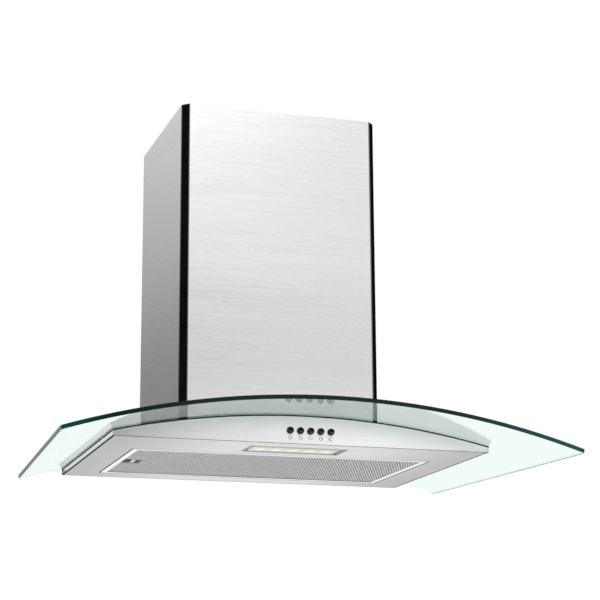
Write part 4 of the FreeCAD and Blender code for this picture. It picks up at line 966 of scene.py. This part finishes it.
def makeMotor():
    m = motorShape
    front, rear, bell, bore = m["front"], m["rear"], m["bell"], m["bore"]
    stack, inner = m["stack"], m["stack"] - m["groove"]
    profile = [(bore, front), (11, front), (12, front - 1.2), (26, front - 1.6), (33, front - 3),
               (bell, front - 8), (bell, m["stackFront"])]
    for number in range(m["laminations"]):
        start = m["stackFront"] - number * m["pitch"]
        end = start - m["pitch"]
        profile += [(stack, start), (stack, end + m["gap"]), (inner, end + m["gap"]), (inner, end)]
    end = m["stackFront"] - m["laminations"] * m["pitch"]
    profile += [(bell, end), (bell, rear + 7), (33, rear + 2.5), (26, rear + 1), (12, rear),
                (0, rear), (0, m["boreEnd"]), (bore, m["boreEnd"]), (bore, front)]
    bm = bmesh.new()
    spinProfile(bm, profile, millimetres(*wheel["centre"]), (1, 0, 0), (0, 1, 0), m["steps"])
    replaceNode(bm, "fan_motor", "motor_body", "motorPaint")


capacitorShape = {"place": (105, -205, 175), "radius": 14, "height": 55, "pins": (-4.5, 4.5),
                  "pinTop": 2.2}


def makeCapacitor():
    c = capacitorShape
    r, h = c["radius"], c["height"] - c["pinTop"]
    x, y, z = c["place"]
    bm = bmesh.new()
    for pin in c["pins"]:
        boxBetween(bm, (x + pin - 0.4, y - 2.5, z + h - 3),
                   (x + pin + 0.4, y + 2.5, z + c["height"]))
    roundEdges(bm, sharpEdges(bm, 50), 0.0002, 2)
    profile = [(0, 0), (r - 1.4, 0), (r - 0.5, 0.4), (r, 1.5), (r, h - 5), (r - 0.9, h - 4.2),
               (r - 0.9, h - 3.2), (r, h - 2.4), (r, h - 0.6), (r - 0.6, h), (r - 1.6, h),
               (r - 2.2, h - 1), (0, h - 1)]
    spinProfile(bm, profile, millimetres(x, y, z), (0, 0, 1), (1, 0, 0), 48)
    replaceNode(bm, "run_capacitor", "capacitor_can")


# screws and gland, in millimetres
screwShape = {
    "head": 3.75, "headHeight": 2.4, "washer": 0.7, "shank": 2.0, "root": 1.55, "thread": 0.8,
    "recess": 0.7, "rim": 0.9,
}
screwSets = {
    # node: (axis of the head, places of the seat under each head, length of the shank)
    "bracket_screws": (
        (-1, 0, 0), ((-57, -137, 220), (-57, -193.29, 122.5), (-57, -80.71, 122.5)), 4.0),
    "chimney_fixing_screws": ((0, -1, 0), ((-138.5, -2.5, 60), (138.5, -2.5, 60)), 2.5),
    "glass_clamp_left_screw": ((-1, 0, 0), ((-123.5, -120, 60),), 2.5),
    "glass_clamp_right_screw": ((1, 0, 0), ((123.5, -120, 60),), 2.5),
    "outlet_screws": ((0, 0, 1), ((-60, -134, 271.5), (60, -26, 271.5)), 5.5),
    "switch_block_screws": ((0, 1, 0), ((-36, -356, 17.5), (45.8, -356, 17.5)), 10.0),
    "upper_bracket_screws": ((0, -1, 0), ((-133.5, -3.6, 483), (133.5, -3.6, 483)), 2.0),
}


def makeScrews(node):
    axis, places, length = screwSets[node]
    s = screwShape
    axis = Vector(axis)
    across = axis.orthogonal().normalized()
    bm = bmesh.new()
    for place in places:
        seat = millimetres(*place)
        drum = bmesh.ops.create_cone(
            bm, cap_ends=True, segments=6, radius1=(s["head"] - 0.35) / 1000,
            radius2=(s["head"] - 0.6) / 1000, depth=(s["headHeight"] - s["washer"]) / 1000)["verts"]
        middle = Matrix.Translation(seat + axis * (s["headHeight"] + s["washer"]) / 2000)
        upright = axis.to_track_quat("Z", "Y").to_matrix().to_4x4()
        bmesh.ops.transform(bm, matrix=middle @ upright, verts=drum)
        top = list({f for v in drum for f in v.link_faces
                    if f.normal.dot(axis) > 0.9 and len(f.verts) == 6})
        bmesh.ops.inset_region(bm, faces=top, thickness=s["rim"] / 1000, depth=0)
        bmesh.ops.translate(bm, vec=-axis * s["recess"] / 1000,
                            verts=list({v for f in top for v in f.verts}))
    roundEdges(bm, sharpEdges(bm, 40), 0.00018, 2)
    turns = int(length / s["thread"])
    washer = [(0, 0.01), (s["head"], 0.01), (s["head"], s["washer"] * 0.5),
              (s["head"] - 0.4, s["washer"]), (0, s["washer"])]
    thread = [(0, 0)]
    for turn in range(turns):
        thread += [(s["root"], -turn * s["thread"]),
                   (s["shank"] - 0.03, -(turn + 0.5) * s["thread"])]
    thread += [(s["root"], -turns * s["thread"]), (s["root"] - 0.4, -length), (0, -length)]
    for place in places:
        spinProfile(bm, washer, millimetres(*place), axis, across, 24)
        spinProfile(bm, thread, millimetres(*place), axis, across, 20)
    replaceNode(bm, node, node + "_hex", "zincScrew")


glandShape = {"wall": (118, -185, 282.5), "hex": 7.9, "dome": 7.2, "bore": 4.0, "neck": 5.5,
              "length": 12.0}


def makeGland():
    g = glandShape
    centre = millimetres(*g["wall"])
    bm = bmesh.new()
    drum = bmesh.ops.create_cone(bm, cap_ends=True, segments=6, radius1=g["hex"] / 1000,
                                 radius2=g["hex"] / 1000, depth=0.004)["verts"]
    bmesh.ops.rotate(bm, matrix=Matrix.Rotation(pi / 2, 3, "Y"), verts=drum)
    bmesh.ops.rotate(bm, matrix=Matrix.Rotation(pi / 2, 3, "X"), verts=drum)
    bmesh.ops.translate(bm, vec=centre + Vector((0.0021, 0, 0)), verts=drum)
    roundEdges(bm, sharpEdges(bm, 40), 0.0005, 3)
    neck = [(g["bore"], -5), (g["neck"] - 0.6, -5)]
    for turn in range(5):
        neck += [(g["neck"] - 0.5, -4.8 + turn), (g["neck"] - 0.02, -4.3 + turn)]
    neck += [(g["neck"] - 0.5, 0), (g["neck"] - 0.5, 4.1), (g["dome"], 4.1), (g["dome"], 8.5),
             (g["dome"] - 0.7, 10.4), (g["dome"] - 1.9, 11.6), (g["bore"] + 0.7, g["length"]),
             (g["bore"], 11.4), (g["bore"], -5)]
    spinProfile(bm, neck, centre, (1, 0, 0), (0, 1, 0), 40)
    replaceNode(bm, "cable_gland", "gland_nut")


easedEdges = {
    # the other pieces keep their own shape; node: eased edge in metres
    "motor_housing": 0.0006, "fan_scroll": 0.0006, "motor_bracket": 0.0005, "motor_shaft": 0.0004,
    "outlet_spigot": 0.0004, "flap_left": 0.0003, "flap_right": 0.0003, "flap_pin": 0.0003,
    "upper_wall_bracket": 0.0003, "glass_clamp_left": 0.0004, "glass_clamp_right": 0.0004,
    "glass_clamp_pads": 0.0006, "cutout_gasket": 0.0004, "edge_gasket": 0.0003,
    "terminal_box": 0.0007, "terminal_box_lid": 0.0006, "capacitor_clip": 0.0004,
    "led_driver": 0.0012, "led_board": 0.0002, "led_emitters": 0.0003, "lamp_housing": 0.0003,
    "switch_block": 0.0005,
}


setCamera()
addLamps()
setWorld()
makeEffects()
makeMaterials()
paintNodes()
addFloor()
addDarkCards()
print("studio and materials ready")
makeCurvedGlass()
print("glass made")
dressPanels()
print("chimney and panels dressed")
dressNode("filter_frame", 0.0012, "frameAluminium", segments=3)
for net in filterNets:
    makeNet(net)
dressNode("filter_latch_cup", 0.0003, "cupGrey")
makeLatch()
print("filter made")
makeButtons()
makeSymbols()
makeLamp()
print("buttons and lamp made")
makeImpeller()
makeMotor()
makeCapacitor()
for screws in screwSets:
    makeScrews(screws)
makeGland()
for node, edge in easedEdges.items():
    dressNode(node, edge)
print("inside pieces made")
